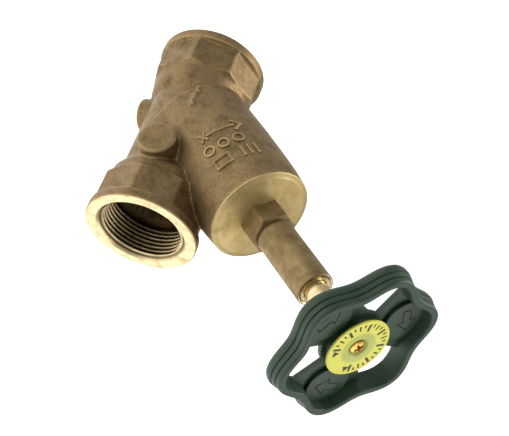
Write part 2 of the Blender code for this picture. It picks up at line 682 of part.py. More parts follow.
def make_plug_parts(shop):
    spigot_hole = SPIGOT_RADIUS + GAP
    thread_hole = SPIGOT_THREAD + GAP
    plate_radius = SEAT_RADIUS - PLATE_CLEARANCE
    shop.piece(ring("seat_washer", spigot_hole, PLUG_RADIUS - WASHER_INSET, WASHER_BOTTOM,
                    WASHER_BOTTOM + WASHER_THICKNESS, MEDIUM), (RUBBER, 0.6))
    shop.piece(ring("washer_plate", thread_hole, plate_radius, PLATE_BOTTOM,
                    PLATE_BOTTOM + PLATE_THICKNESS, MEDIUM), (STEEL, 0.3, 1.0))
    nut = prism("washer_nut", NUT_FLATS, 6, NUT_BOTTOM, NUT_BOTTOM + NUT_HEIGHT)
    shop.piece(nut, (BRASS, 0.35, 1.0))
    shop.cut(nut, rod("nut_hole", thread_hole, NUT_BOTTOM - MM, NUT_BOTTOM + 2 * NUT_HEIGHT))
    shop.piece(ring("slide_washer", STEM_HOLE, COLLAR_OUTER, SLIDE_BOTTOM, SLIDE_TOP),
               (WHITE, 0.5))


# ------------------------------------------------------------------ stem
def make_stem(shop):
    thread_top = THREAD_START + THREAD_LENGTH
    run_out = THREAD_RADIUS - STEM_RADIUS
    outline = [
        (0, SQUARE_BOTTOM),
        (STEM_RADIUS, SQUARE_BOTTOM),
        (STEM_RADIUS, thread_top),
        (THREAD_RADIUS, thread_top - run_out),
        (THREAD_RADIUS, THREAD_START + run_out),
        (STEM_RADIUS, THREAD_START),
        (STEM_RADIUS, COLLAR_TOP),
        (COLLAR_OUTER, COLLAR_TOP),
        (COLLAR_OUTER, COLLAR_BOTTOM),
        (STEM_RADIUS / 2, STEM_TIP),
        (0, STEM_TIP),
    ]
    stem = shop.piece(turned("stem", outline, False, MEDIUM), (BRASS, 0.3, 1.0))
    half = SQUARE_SIDE / 2
    shop.add(stem, block("stem_square", (-half, -half, SQUARE_BOTTOM - MM),
                         (half, half, STEM_TOP)))
    shop.cut(stem, rod("stem_tapping", TAPPED_RADIUS, STEM_TOP - TAPPED_DEPTH, STEM_TOP + MM))


# ------------------------------------------------------------------ handwheel
def push_lobe(vertex, depth):
    """Pushes a point of a turned ring out or in to the lobed outline."""
    angle = math.atan2(vertex.co.y, vertex.co.x)
    radius = math.hypot(vertex.co.x, vertex.co.y)
    new_radius = radius + depth * math.cos(LOBES * (angle - LOBE_TURN))
    vertex.co.x *= new_radius / radius
    vertex.co.y *= new_radius / radius


def wheel_rim():
    front = WHEEL_RADIUS - WHEEL_DRAFT
    bottom = WHEEL_TOP - WHEEL_HEIGHT
    edge = RIM_EDGE
    outline = [
        (front - edge, WHEEL_TOP),
        (front, WHEEL_TOP - edge),
        (front + RIM_SHOULDER, WHEEL_TOP - RIM_SHOULDER_DROP),
        (WHEEL_RADIUS, bottom + RIM_WIDEST),
        (WHEEL_RADIUS - edge, bottom),
        (front - RIM_WIDTH - edge, bottom),
        (front - RIM_WIDTH, WHEEL_TOP - edge),
        (front - RIM_WIDTH + 0.5 * edge, WHEEL_TOP),
    ]
    return turned("handwheel", outline, True, RIM_STEPS)


def wheel_web():
    """The plate between the hub and the rim; its edge lies inside the rim's wall."""
    inner = (HUB_RADIUS + INSERT_RADIUS) / 2
    outer = RIM_INNER + RIM_WIDTH / 2
    outline = [
        (outer, WEB_TOP),
        (outer, WEB_BOTTOM),
        (inner, WEB_BOTTOM),
        (inner, WEB_TOP),
    ]
    web = bake(turned("wheel_web", outline, True, RIM_STEPS))
    for vertex in web.data.vertices:
        if math.hypot(vertex.co.x, vertex.co.y) > RIM_INNER:
            push_lobe(vertex, LOBE_DEPTH)
    return web


def window(name):
    """A cutter in the shape of a sector that follows the rim's inner wall."""
    half = WINDOW_ANGLE / 2
    steps = 8
    angles = [half * (2 * i / steps - 1) for i in range(steps + 1)]
    bend = LOBE_DEPTH - GAP
    outer = [(RIM_INNER - GAP + bend * math.cos(LOBES * a), a) for a in angles]
    inner = [(WEB_COLLAR, a) for a in reversed(angles)]
    mesh = bpy.data.meshes.new(name)
    cage = bmesh.new()
    corners = [cage.verts.new((r * math.cos(a), r * math.sin(a), WEB_BOTTOM - MM))
               for r, a in outer + inner]
    floor = cage.faces.new(corners)
    raised = bmesh.ops.extrude_face_region(cage, geom=[floor])["geom"]
    top = [item for item in raised if isinstance(item, bmesh.types.BMVert)]
    bmesh.ops.translate(cage, verts=top, vec=(0, 0, WEB_THICKNESS + 2 * MM))
    bmesh.ops.recalc_face_normals(cage, faces=cage.faces)
    cage.to_mesh(mesh)
    cage.free()
    obj = bpy.data.objects.new(name, mesh)
    bpy.context.scene.collection.objects.link(obj)
    return obj


def lobe_angles(first):
    """The directions of every second lobe, starting at lobe number first."""
    return [LOBE_TURN + 2 * math.pi * number / LOBES for number in range(first, LOBES, 2)]


def make_handwheel(shop):
    wheel = bake(wheel_rim())
    for vertex in wheel.data.vertices:
        push_lobe(vertex, LOBE_DEPTH)
    shop.piece(wheel, (GREEN, 0.5))
    stem_hole = STEM_RADIUS + GAP
    hub = turned("hub", [
        (HUB_RADIUS, HUB_TOP),
        (HUB_RADIUS, WEB_BOTTOM - HUB_CHAMFER),
        (HUB_RADIUS - HUB_CHAMFER, HUB_BOTTOM),
        (stem_hole, HUB_BOTTOM),
        (stem_hole, SQUARE_BOTTOM),
        (INSERT_RADIUS + GAP, SQUARE_BOTTOM),
        (INSERT_RADIUS + GAP, HUB_TOP),
    ], True, MEDIUM)
    web = wheel_web()
    for number, angle in enumerate(lobe_angles(1)):
        shop.cut(web, window("window_%d" % number), rotation=(0, 0, angle))
    shop.add(wheel, web)
    for number, angle in enumerate(lobe_angles(0)):
        pad = rod("pad_%d" % number, PAD_RADIUS, WEB_BOTTOM + GAP, PAD_TOP)
        centre = Matrix.Rotation(angle, 3, "Z") @ Vector((PAD_DISTANCE, 0, 0))
        shop.add(wheel, pad, location=centre)
    shop.add(wheel, hub)


def make_wheel_parts(shop):
    insert = prism("handwheel_insert", 2 * INSERT_RADIUS * math.cos(math.pi / 12), 12,
                   SQUARE_BOTTOM + GAP, STEM_TOP)
    shop.piece(insert, (BRASS, 0.4, 1.0))
    half = SQUARE_SIDE / 2 + GAP
    shop.cut(insert, block("insert_square", (-half, -half, SQUARE_BOTTOM - MM),
                           (half, half, STEM_TOP + MM)))
    shop.piece(ring("spring_washer", SCREW_RADIUS + 2 * GAP, 2 * SCREW_RADIUS + MM,
                    SPRING_BOTTOM, LABEL_BOSS - GAP), (STEEL, 0.3, 1.0))


def make_label_disc(shop):
    """The round cover plate with a countersunk centre."""
    hole = SCREW_RADIUS + 2 * GAP
    sink = SCREW_HEAD_RADIUS + 2 * GAP
    sink_top = LABEL_TOP - SCREW_HEAD_SINK
    boss_radius = SCREW_HEAD_RADIUS + LABEL_BOSS_WALL
    outline = [
        (LABEL_RADIUS - LABEL_EDGE, LABEL_TOP),
        (LABEL_RADIUS, LABEL_TOP - LABEL_EDGE),
        (LABEL_RADIUS, LABEL_BOTTOM),
        (boss_radius, LABEL_BOTTOM),
        (boss_radius, LABEL_BOSS),
        (hole, LABEL_BOSS),
        (hole, sink_top - (sink - hole)),
        (sink, sink_top),
        (boss_radius, LABEL_TOP),
    ]
    shop.piece(turned("label_disc", outline, True, MEDIUM), (YELLOW, 0.45))


def make_handwheel_screw(shop):
    head_top = LABEL_TOP + SCREW_HEAD_PROUD
    head_edge = LABEL_TOP - SCREW_HEAD_SINK
    neck = head_edge - (SCREW_HEAD_RADIUS - SCREW_RADIUS)
    tip = head_top - SCREW_LENGTH
    outline = [
        (0, head_top),
        (SCREW_HEAD_CROWN, head_top - SCREW_HEAD_PROUD / 2),
        (SCREW_HEAD_RADIUS, head_edge),
        (SCREW_RADIUS, neck),
        (SCREW_RADIUS, tip + SCREW_POINT),
        (0, tip),
    ]
    screw = shop.piece(turned("handwheel_screw", outline, False, COARSE), (BRASS, 0.3, 1.0))
    reach = CROSS_LENGTH / 2
    side = CROSS_WIDTH / 2
    depth = head_top - SCREW_RECESS
    for name, x, y in (("slot_a", reach, side), ("slot_b", side, reach)):
        shop.cut(screw, block(name, (-x, -y, depth), (x, y, head_top + MM)))


def main():
    clear_scene()
    shop = Workshop()
    make_body(shop)
    make_seat_ring(shop)
    make_bonnet(shop)
    make_bonnet_seals(shop)
    make_bonnet_bushes(shop)
    make_keeper_ring(shop)
    make_plug(shop)
    make_plug_parts(shop)
    make_stem(shop)
    make_handwheel(shop)
    make_wheel_parts(shop)
    make_label_disc(shop)
    make_handwheel_screw(shop)


main()
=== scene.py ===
"""Looks of a slanted-seat globe valve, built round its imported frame.

The pipe axis is X.  The bonnet axis leaves it at the seat and leans towards +X.  Pieces on
the bonnet axis are modelled upright on Z, by their height along that axis, and are then laid
along it with AXIS.
"""
import json
import math

import bpy
from bpy.props import FloatProperty, FloatVectorProperty, IntProperty, PointerProperty
from bpy.props import StringProperty
from mathutils import Matrix, Vector


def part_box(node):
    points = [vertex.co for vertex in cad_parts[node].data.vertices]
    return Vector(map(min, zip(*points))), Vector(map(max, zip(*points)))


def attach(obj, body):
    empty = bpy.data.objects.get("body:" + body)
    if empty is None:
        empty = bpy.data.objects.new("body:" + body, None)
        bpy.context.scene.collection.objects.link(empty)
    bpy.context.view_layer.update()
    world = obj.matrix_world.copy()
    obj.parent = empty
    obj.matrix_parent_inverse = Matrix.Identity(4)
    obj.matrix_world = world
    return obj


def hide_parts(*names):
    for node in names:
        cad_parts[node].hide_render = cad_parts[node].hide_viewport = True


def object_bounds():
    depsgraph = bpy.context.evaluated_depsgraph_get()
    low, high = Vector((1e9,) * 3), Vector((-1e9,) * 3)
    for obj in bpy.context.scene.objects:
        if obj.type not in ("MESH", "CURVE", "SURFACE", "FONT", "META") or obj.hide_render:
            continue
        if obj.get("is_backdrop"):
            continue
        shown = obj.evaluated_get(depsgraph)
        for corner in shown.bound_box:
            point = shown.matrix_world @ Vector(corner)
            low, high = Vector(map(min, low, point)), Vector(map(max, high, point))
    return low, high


bl_info = {
    "name": "Slanted-seat globe valve",
    "version": (1, 0, 0),
    "blender": (4, 5, 0),
    "location": "3D View > Sidebar > Valve",
    "description": "Models the casting, bonnet, stem and handwheel of a threaded globe valve",
    "category": "Object",
}

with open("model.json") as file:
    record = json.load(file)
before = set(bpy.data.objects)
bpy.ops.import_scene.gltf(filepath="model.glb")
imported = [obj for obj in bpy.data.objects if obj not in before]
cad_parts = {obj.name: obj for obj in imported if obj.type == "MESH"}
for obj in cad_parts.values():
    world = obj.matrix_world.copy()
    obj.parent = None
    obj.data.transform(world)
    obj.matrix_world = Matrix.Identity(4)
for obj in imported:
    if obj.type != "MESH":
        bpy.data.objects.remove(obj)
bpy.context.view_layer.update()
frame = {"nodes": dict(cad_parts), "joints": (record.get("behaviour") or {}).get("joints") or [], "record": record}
MM = 0.001

TURN = next(joint for joint in frame["joints"] if joint["name"] == "handwheel_turn")
LEAN = math.atan2(TURN["axis"][0], TURN["axis"][2])
CROSSING = TURN["pos_m"][0] - TURN["pos_m"][2] * math.tan(LEAN)
AXIS = Matrix.Translation((CROSSING, 0, 0)) @ Matrix.Rotation(LEAN, 4, "Y")
ALONG_X = Matrix.Rotation(math.pi / 2, 4, "Y")


def span(node):
    """Lowest and highest point of a CAD node along the bonnet axis, and its widest radius."""
    upright = AXIS.inverted()
    points = [upright @ vertex.co for vertex in frame["nodes"][node].data.vertices]
    heights = [point.z for point in points]
    return min(heights), max(heights), max(point.xy.length for point in points)


END_X = -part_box("valve_body")[0].x
NECK_TOP = span("valve_body")[1]
FLANGE_BOTTOM = NECK_TOP + 0.3 * MM
TUBE_TOP = span("bonnet")[1]
NOSE_BOTTOM = span("bonnet")[0]
WHEEL_TOP = span("handwheel")[1]
HUB_BOTTOM = span("handwheel")[0]
LABEL_BOSS, LABEL_TOP, LABEL_RADIUS = span("label_disc")
STEM_TIP, STEM_TOP, _ = span("stem")
SQUARE_BOTTOM = span("handwheel_insert")[0] - 0.3 * MM
SCREW_TIP, SCREW_TOP, SCREW_RADIUS = span("handwheel_screw")


# ------------------------------------------------------------------ settings
def length(name, millimetres, description):
    return FloatProperty(name=name, description=description, default=millimetres * MM,
                         unit="LENGTH", precision=5)


def angle(name, degrees, description):
    return FloatProperty(name=name, description=description, default=math.radians(degrees),
                         unit="ROTATION")


def hue(name, value, description):
    return StringProperty(name=name, description=description, default=value)


class CastingSizes(bpy.types.PropertyGroup):
    collar_radius: length("Collar radius", 27.5, "Outside of the two end collars")
    collar_width: length("Collar width", 5, "Length of an end collar")
    flats: length("Wrench flats", 50, "Octagon across its flats")
    flats_width: length("Wrench width", 16, "Length of an octagon")
    waist_radius: length("Waist radius", 20.8, "Outside of the pipe wall between the octagons")
    barrel_radius: length("Barrel radius", 26.7, "Widest part of the slanted branch")
    barrel_start: length("Barrel start", 7, "Lower end of the slanted branch")
    neck_radius: length("Neck radius", 24.9, "Top of the slanted branch")
    chamber_radius: length("Chamber radius", 20, "Bore above the seat")
    floor_height: length("Chamber floor", 9, "Height of the chamber floor")
    partition: length("Partition", 7, "Wall between the two water passages")
    passage_radius: length("Passage radius", 16.5, "Water passage")
    seat_hole: length("Seat hole radius", 16.3, "Hole that the seat ring is pressed into")
    boss_radius: length("Lower boss radius", 8.5, "Undrilled drain boss under the seat")
    side_boss_radius: length("Side boss radius", 9.3, "Undrilled drain boss on the outlet side")
    side_boss_turn: angle("Side boss turn", 5, "Side boss up from -Y, about the pipe")
    side_boss_x: length("Side boss place", 19.5, "Boss facing -Y, along the pipe")
    side_boss_reach: length("Side boss reach", 28.5, "Its face from the pipe axis")
    lower_boss_x: length("Lower boss place", -17.8, "Boss facing -Z, along the pipe")
    lower_boss_reach: length("Lower boss reach", 26.4, "Its face from the pipe axis")
    thread_major: length("Thread valley", 20.955, "Pipe thread Rp 1 1/4, larger radius")
    thread_minor: length("Thread crest", 19.475, "Pipe thread Rp 1 1/4, smaller radius")
    thread_pitch: length("Thread pitch", 2.309, "Eleven turns to the inch")
    socket_depth: length("Socket depth", 19, "From the end face to the shoulder")
    # Length of thread, from the end face, that gets no painted shade
    mouth_depth: length("Unshaded mouth", 11, "Thread left without painted shade, from the end face")
    grain: length("Casting grain", 0.6, "Finest shape that the sand mould keeps")


class BonnetSizes(bpy.types.PropertyGroup):
    flange_edge: length("Flange edge", 0.9, "Straight part of the flange's edge")
    bevel: length("Flange bevel", 0.8, "Rise of the bevel on the flange")
    bevel_width: length("Flange bevel width", 2.6, "Width of the bevel on the flange")
    dome: length("Flange dome", 2.6, "Rise of the flange towards the hexagon")
    hex_flats: length("Hexagon flats", 20, "Hexagon across its flats")
    hex_height: length("Hexagon height", 11, "Height of the hexagon")
    hex_turn: angle("Hexagon turn", -15, "Turn of the hexagon about the stem")
    tube_radius: length("Tube radius", 9, "Outside of the stem tube")
    mouth_radius: length("Mouth radius", 7.7, "Counterbore at the tube's mouth")
    spigot_radius: length("Spigot radius", 19.7, "Screwed part inside the neck")
    nose_radius: length("Nose radius", 12.5, "Lower end around the stem seals")
    stem_hole: length("Stem hole radius", 5.8, "Guide for the stem")
    thread_hole: length("Stem nut radius", 7, "Inside thread for the stem")


class StemSizes(bpy.types.PropertyGroup):
    radius: length("Stem radius", 5.5, "Smooth part of the stem")
    square: length("Square", 8, "Square for the handwheel, across its flats")
    tapping: length("Tapping radius", 2.5, "Threaded hole for the screw")
    collar_radius: length("Collar radius", 6.8, "Collar that turns inside the plug")
    thread_radius: length("Thread radius", 6.7, "Outside of the trapezoidal thread")
    thread_top: length("Thread top", 111, "Upper end of the thread")
    thread_pitch: length("Thread pitch", 4, "From ridge to ridge")
    thread_ridges: IntProperty(name="Ridges", description="Ridges of the thread", default=7)


class WheelSizes(bpy.types.PropertyGroup):
    rim_front: length("Rim radius in front", 35.6, "Mean outside radius at the rim's front")
    rim_width: length("Rim width", 3.6, "Wall of the rim at its front")
    rim_height: length("Rim height", 9.8, "Depth of the rim along the stem")
    lobes: IntProperty(name="Lobes", description="Number of finger lobes", default=6)
    lobe_depth: length("Lobe depth", 2.8, "Lobes stand out, and hollows go in, by this")
    lobe_turn: angle("Lobe turn", 50, "Direction of the first lobe")
    web_drop: length("Web drop", 7, "Web below the rim's front")
    web: length("Web thickness", 2.2, "Thickness of the web")
    window_angle: angle("Window angle", 41, "Width of each of the three windows")
    window_start: length("Window inner edge", 15.3, "Inner edge of the windows")
    window_rounding: length("Window rounding", 1.2, "Corners of the windows")
    pad_radius: length("Pad radius", 10.7, "Three round pads with an arrow")
    pad_distance: length("Pad distance", 24.9, "Pad centres from the stem")
    pad_drop: length("Pad drop", 5.2, "Pads below the rim's front")
    hub_radius: length("Hub radius", 13.4, "Outside of the hub")
    insert_hole: length("Insert hole radius", 9.3, "Hole for the square insert")
    stem_hole: length("Stem hole radius", 5.8, "Hole in the back of the hub")
    arrow_groove: length("Arrow groove", 0.5, "Radius of the engraved line")


class Finishes(bpy.types.PropertyGroup):
    cast: hue("Cast gunmetal", "#8A7450", "Sand-cast skin")
    cast_dark: hue("Cast gunmetal, dark", "#6A5738", "Hollows of the skin")
    cast_warm: hue("Cast gunmetal, warm", "#98784F", "Copper-tinted patches")
    machined: hue("Machined gunmetal", "#E4CFA2", "Freshly cut faces")
    bonnet: hue("Bonnet brass", "#BFA978", "Turned and blasted brass")
    bonnet_dark: hue("Bonnet brass, dark", "#A8935F", "Handled brass")
    tube: hue("Tube brass", "#94805A", "Blasted hexagon and stem tube")
    tube_dark: hue("Tube brass, dark", "#7A6845", "Their stains")
    # Colour of the painted shade in the thread valleys and deep in the sockets
    socket_painted_shade: hue("Socket painted shade", "#54462B", "Painted shade in the thread valleys and deep in the sockets")
    wheel: hue("Handwheel green", "#102A15", "Moulded plastic")
    wheel_worn: hue("Handwheel green, worn", "#1C3A20", "Rubbed edges")
    label: hue("Label yellow", "#D9D64F", "Printed cover disc")
    label_inner: hue("Label olive", "#B5BC5A", "Zone round the screw")
    print_ink: hue("Print", "#2A2B20", "Scale printed on the label")
    screw: hue("Screw brass", "#D9B25C", "Polished yellow brass")
    screw_dark: hue("Screw brass, dark", "#B08A3C", "Its tarnish")
    steel_dark: hue("Stainless steel, dark", "#8E8C86", "Its smudges")
    steel: hue("Stainless steel", "#B9B7B0", "Rings and clips")
    rubber: hue("Seal rubber", "#161616", "O-rings and washer")
    rubber_bloom: hue("Seal rubber, bloom", "#262626", "Its grey film")
    slide: hue("Bearing plastic", "#E4E1D6", "Guide bush and slide washer")
    slide_light: hue("Bearing plastic, light", "#F1EFE8", "Its lighter patches")
    print_thin: hue("Print, thin", "#3A3B2C", "Where the ink is thin")


class StageSettings(bpy.types.PropertyGroup):
    azimuth: angle("Azimuth", 36.92, "Camera round the valve, 0 looks along +Y")
    elevation: angle("Elevation", 18.35, "Camera above the horizon")
    roll: angle("Roll", 97.31, "Camera about its own line of sight")
    distance: length("Distance", 532.85, "Camera to the point that it aims at")
    aim: FloatVectorProperty(name="Aim", description="Point that the camera aims at",
                             subtype="TRANSLATION", default=(0.03797, 0.0, 0.05128))
    lens: FloatProperty(name="Lens", description="Focal length in mm", default=81.94)
    ambient: FloatProperty(name="Ambient", description="Light from all around", default=0.5)
    floor_drop: length("Floor drop", 130, "Floor below the valve, which hangs on its pipe")


GROUPS = {
    "valve_casting": CastingSizes,
    "valve_bonnet": BonnetSizes,
    "valve_stem": StemSizes,
    "valve_wheel": WheelSizes,
    "valve_finishes": Finishes,
    "valve_stage": StageSettings,
}


# ------------------------------------------------------------------ modelling by hand
def deselect():
    if bpy.context.mode != "OBJECT":
        bpy.ops.object.mode_set(mode="OBJECT")
    bpy.ops.object.select_all(action="DESELECT")


def only(obj):
    deselect()
    obj.select_set(True)
    bpy.context.view_layer.objects.active = obj
    return obj


def edit(obj, *steps):
    """Runs edit-mode steps on all of an object's mesh."""
    only(obj)
    bpy.ops.object.mode_set(mode="EDIT")
    bpy.ops.mesh.select_all(action="SELECT")
    for step in steps:
        step()
    bpy.ops.object.mode_set(mode="OBJECT")
    return obj


def settle(obj, matrix=Matrix()):
    """Turns and moves the mesh itself, so that the object stays at the origin."""
    obj.data.transform(matrix @ obj.matrix_world)
    obj.matrix_world = Matrix()
    return obj


def face_outwards():
    bpy.ops.mesh.select_all(action="SELECT")
    bpy.ops.mesh.remove_doubles(threshold=0.002 * MM)
    bpy.ops.mesh.normals_make_consistent(inside=False)


def outline(name, points, closed):
    """Draws an outline in the XZ plane by extruding one corner from point to point."""
    deselect()
    bpy.ops.mesh.primitive_plane_add(size=MM)
    obj = bpy.context.object
    obj.name = name
    start = points[0]
    bpy.ops.object.mode_set(mode="EDIT")
    bpy.ops.mesh.select_all(action="SELECT")
    bpy.ops.mesh.merge(type="CENTER")
    bpy.ops.transform.translate(value=(start[0], 0, start[1]))
    stops = list(points[1:]) + ([start] if closed else [])
    for (x0, z0), (x1, z1) in zip(points, stops):
        move = {"value": (x1 - x0, 0, z1 - z0)}
        bpy.ops.mesh.extrude_region_move(TRANSFORM_OT_translate=move)
    bpy.ops.mesh.select_all(action="SELECT")
    bpy.ops.mesh.remove_doubles(threshold=0.002 * MM)
    bpy.ops.object.mode_set(mode="OBJECT")
    return obj


def lathe(name, points, closed=False, sides=128):
    """Turns an outline of (radius, height) points about Z."""
    obj = outline(name, points, closed)

    def spin():
        bpy.ops.mesh.spin(steps=sides, angle=2 * math.pi, center=(0, 0, 0), axis=(0, 0, 1))

    return edit(obj, spin, face_outwards)


def arc(centre, radius, start, end, steps=4):
    """Points of a rounded corner, from one direction to another, in degrees."""
    points = []
    for i in range(steps + 1):
        turn = math.radians(start + (end - start) * i / steps)
        points.append((centre[0] + radius * math.cos(turn), centre[1] + radius * math.sin(turn)))
    return points


def prism(name, flats, sides, bottom, top, turn=0.0):
    radius = flats / 2 / math.cos(math.pi / sides)
    deselect()
    bpy.ops.mesh.primitive_cylinder_add(vertices=sides, radius=radius, depth=top - bottom,
                                        location=(0, 0, (top + bottom) / 2))
    obj = bpy.context.object
    obj.name = name
    return settle(obj, Matrix.Rotation(turn - math.pi / 2, 4, "Z"))


def bar(name, low, high):
    low = Vector(low)
    high = Vector(high)
    deselect()
    bpy.ops.mesh.primitive_cube_add(size=1, location=(low + high) / 2, scale=high - low)
    bpy.context.object.name = name
    return settle(bpy.context.object)


def apply(obj, kind, **settings):
    """Adds one modifier and applies it."""
    only(obj)
    bpy.ops.object.modifier_add(type=kind)
    modifier = obj.modifiers[-1]
    for key, value in settings.items():
        setattr(modifier, key, value)
    bpy.ops.object.modifier_apply(modifier=modifier.name)
    return obj


def carve(obj, tool, operation="DIFFERENCE", solver="MANIFOLD"):
    """Cuts with, adds or keeps the overlap with a tool, which is used up."""
    before = len(obj.data.polygons)
    apply(obj, "BOOLEAN", object=tool, operation=operation, solver=solver)
    if not obj.data.polygons:
        raise RuntimeError("%s left nothing of %s (%d faces)" % (tool.name, obj.name, before))
    bpy.data.objects.remove(tool)
    return obj


def slice_off(obj, point, normal):
    """Cuts away what lies on the normal's side of a plane, and closes the cut."""
    def cut():
        bpy.ops.mesh.bisect(plane_co=point, plane_no=normal, use_fill=True, clear_outer=True)

    return edit(obj, cut)


def shade(obj, degrees=35):
    only(obj)
    bpy.ops.object.shade_smooth_by_angle(angle=math.radians(degrees))
    return obj


def finish_piece(obj, name, body, node, slot, *materials):
    """Names a piece, gives it its materials and hands it to its moving body."""
    obj.name = name
    obj.data.name = name
    obj.data.materials.clear()
    for material in materials:
        obj.data.materials.append(material)
    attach(obj, body)
    if node:
        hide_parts(node)
    return obj


# ------------------------------------------------------------------ finishes
def linear(text):
    """An sRGB hex colour as linear values."""
    parts = [int(text[i:i + 2], 16) / 255 for i in (1, 3, 5)]
    return tuple(v / 12.92 if v <= 0.04045 else ((v + 0.055) / 1.055) ** 2.4 for v in parts) + (1,)


def add_node(material, kind, inputs=None, **settings):
    """Adds a node.  An input is a value or another node's output, by name or number."""
    tree = material.node_tree
    node = tree.nodes.new(kind)
    for key, value in settings.items():
        setattr(node, key, value)
    for key, value in (inputs or {}).items():
        if isinstance(value, bpy.types.NodeSocket):
            tree.links.new(value, node.inputs[key])
        else:
            node.inputs[key].default_value = value
    return node


def ramp(material, factor, *stops):
    """Turns a factor into colours or levels: stops are (position, colour or level)."""
    node = add_node(material, "ShaderNodeValToRGB", {"Fac": factor})
    elements = node.color_ramp.elements
    while len(elements) < len(stops):
        elements.new(0.5)
    for element, (place, value) in zip(elements, stops):
        element.position = place
        element.color = linear(value) if isinstance(value, str) else (value, value, value, 1)
    return node.outputs["Color"]


def blend(material, factor, first, second, mode="MIX"):
    """Goes from the first colour to the second with the factor."""
    node = add_node(material, "ShaderNodeMix", {0: factor, 6: first, 7: second},
                    data_type="RGBA", blend_type=mode)
    return node.outputs[2]


def new_material(name):
    """An empty Principled material and its shader."""
    material = bpy.data.materials.new(name)
    material.use_nodes = True
    return material, material.node_tree.nodes["Principled BSDF"]


def connect(material, shader, **outputs):
    """Links outputs to the shader inputs that they are named after."""
    for name, output in outputs.items():
        material.node_tree.links.new(output, shader.inputs[name.replace("_", " ")])


def place_pattern(material, matrix=None):
    """Object coordinates, or the same seen along another axis."""
    where = add_node(material, "ShaderNodeTexCoord").outputs["Object"]
    if matrix is None:
        return where
    turned = matrix.inverted()
    mapping = add_node(material, "ShaderNodeMapping", {
        "Vector": where,
        "Location": turned.to_translation(),
        "Rotation": turned.to_euler(),
    })
    return mapping.outputs["Vector"]


def speckle(material, where, size_mm, detail=3.0, roughness=0.55):
    """Noise whose blotches are about size_mm wide."""
    node = add_node(material, "ShaderNodeTexNoise", {
        "Vector": where,
        "Scale": 1 / (size_mm * MM),
        "Detail": detail,
        "Roughness": roughness,
    })
    return node.outputs["Fac"]


def turning_lines(material, where, spacing_mm):
    """Rings round Z, as a lathe tool leaves them."""
    node = add_node(material, "ShaderNodeTexWave", {
        "Vector": where,
        "Scale": 2 * math.pi / (20 * spacing_mm * MM),
        "Distortion": 1.2,
        "Detail": 1.0,
    }, wave_type="RINGS", rings_direction="Z")
    return node.outputs["Fac"]


def bump(material, height, depth_mm, strength, under=None):
    """Surface relief, if wanted on top of finer relief."""
    inputs = {"Height": height, "Distance": depth_mm * MM, "Strength": strength}
    if under is not None:
        inputs["Normal"] = under
    return add_node(material, "ShaderNodeBump", inputs).outputs["Normal"]


def cast_gunmetal(hues):
    """Red brass from a sand mould: a dull oxide skin, 0.5 mm sand grain, blotches of brown
    and copper several millimetres wide, and paler metal on rubbed edges."""
    material, shader = new_material("sand_cast_gunmetal")
    where = place_pattern(material)
    blotch = speckle(material, where, 7, 5.0, 0.65)
    skin = ramp(material, blotch, (0.30, hues.cast_dark), (0.52, hues.cast), (0.80, hues.cast_warm))
    grain = speckle(material, where, 1.1, 4.0, 0.7)
    shadow = ramp(material, grain, (0.30, 0.62), (0.62, 1.0))
    grained = blend(material, 0.75, skin, shadow, "MULTIPLY")
    edge = add_node(material, "ShaderNodeNewGeometry").outputs["Pointiness"]
    rubbed = ramp(material, edge, (0.508, 0.0), (0.56, 0.6))
    colour = blend(material, rubbed, grained, linear(hues.bonnet))
    rough = ramp(material, grain, (0.3, 0.62), (0.7, 0.44))
    sand = bump(material, speckle(material, where, 0.9, 3.0, 0.7), 0.16, 0.55)
    waves = bump(material, speckle(material, where, 5, 2.0), 0.35, 0.4, sand)
    shader.inputs["Metallic"].default_value = 0.85
    connect(material, shader, Base_Color=colour, Roughness=rough, Normal=waves)
    return material


def socket_shade_mask(material):
    """Mask of painted shade: 0 on the end faces, rising to 1 in the thread's valleys and further down the socket.
    """
    sizes = bpy.context.scene.valve_casting
    where = add_node(material, "ShaderNodeSeparateXYZ", {0: place_pattern(material)})
    along = add_node(material, "ShaderNodeMath", {0: where.outputs["X"]}, operation="ABSOLUTE")
    inward = add_node(material, "ShaderNodeMapRange", {
        "Value": along.outputs[0],
        "From Min": END_X - sizes.mouth_depth,
        "From Max": END_X - sizes.socket_depth,
    })
    squares = [add_node(material, "ShaderNodeMath", {0: where.outputs[name], 1: 2.0},
                        operation="POWER").outputs[0] for name in ("Y", "Z")]
    across = add_node(material, "ShaderNodeMath", {0: squares[0], 1: squares[1]}, operation="ADD")
    reach = add_node(material, "ShaderNodeMath", {0: across.outputs[0]}, operation="SQRT")
    valley = add_node(material, "ShaderNodeMapRange", {
        "Value": reach.outputs[0],
        "From Min": sizes.thread_minor + 0.1 * MM,
        "From Max": sizes.thread_major - 0.3 * MM,
    })
    inside = add_node(material, "ShaderNodeMapRange", {
        "Value": along.outputs[0],
        "From Min": END_X - 0.4 * MM,
        "From Max": END_X - 1.6 * MM,
    })
    shaded = add_node(material, "ShaderNodeMath", {0: valley.outputs[0], 1: inside.outputs[0]},
                      operation="MULTIPLY")
    return add_node(material, "ShaderNodeMath", {0: shaded.outputs[0], 1: inward.outputs[0]},
                    operation="MAXIMUM", use_clamp=True).outputs[0]


def turned_metal(name, axis, tones, rough, rings):
    """Metal off a lathe: an uneven tone and fine tool rings.

    tones is the patch size in mm, the noise detail and two stops; rough is its two ends;
    rings is spacing and depth in mm and the strength.
    """
    material, shader = new_material(name)
    where = place_pattern(material, axis)
    patch_mm, detail, *stops = tones
    tone = speckle(material, where, patch_mm, detail)
    colour = ramp(material, tone, *stops)
    spacing_mm, depth_mm, strength = rings
    lines = bump(material, turning_lines(material, where, spacing_mm), depth_mm, strength)
    shader.inputs["Metallic"].default_value = 1.0
    connect(material, shader, Base_Color=colour, Normal=lines,
            Roughness=ramp(material, tone, (0.3, rough[0]), (0.7, rough[1])))
    return material, shader, colour


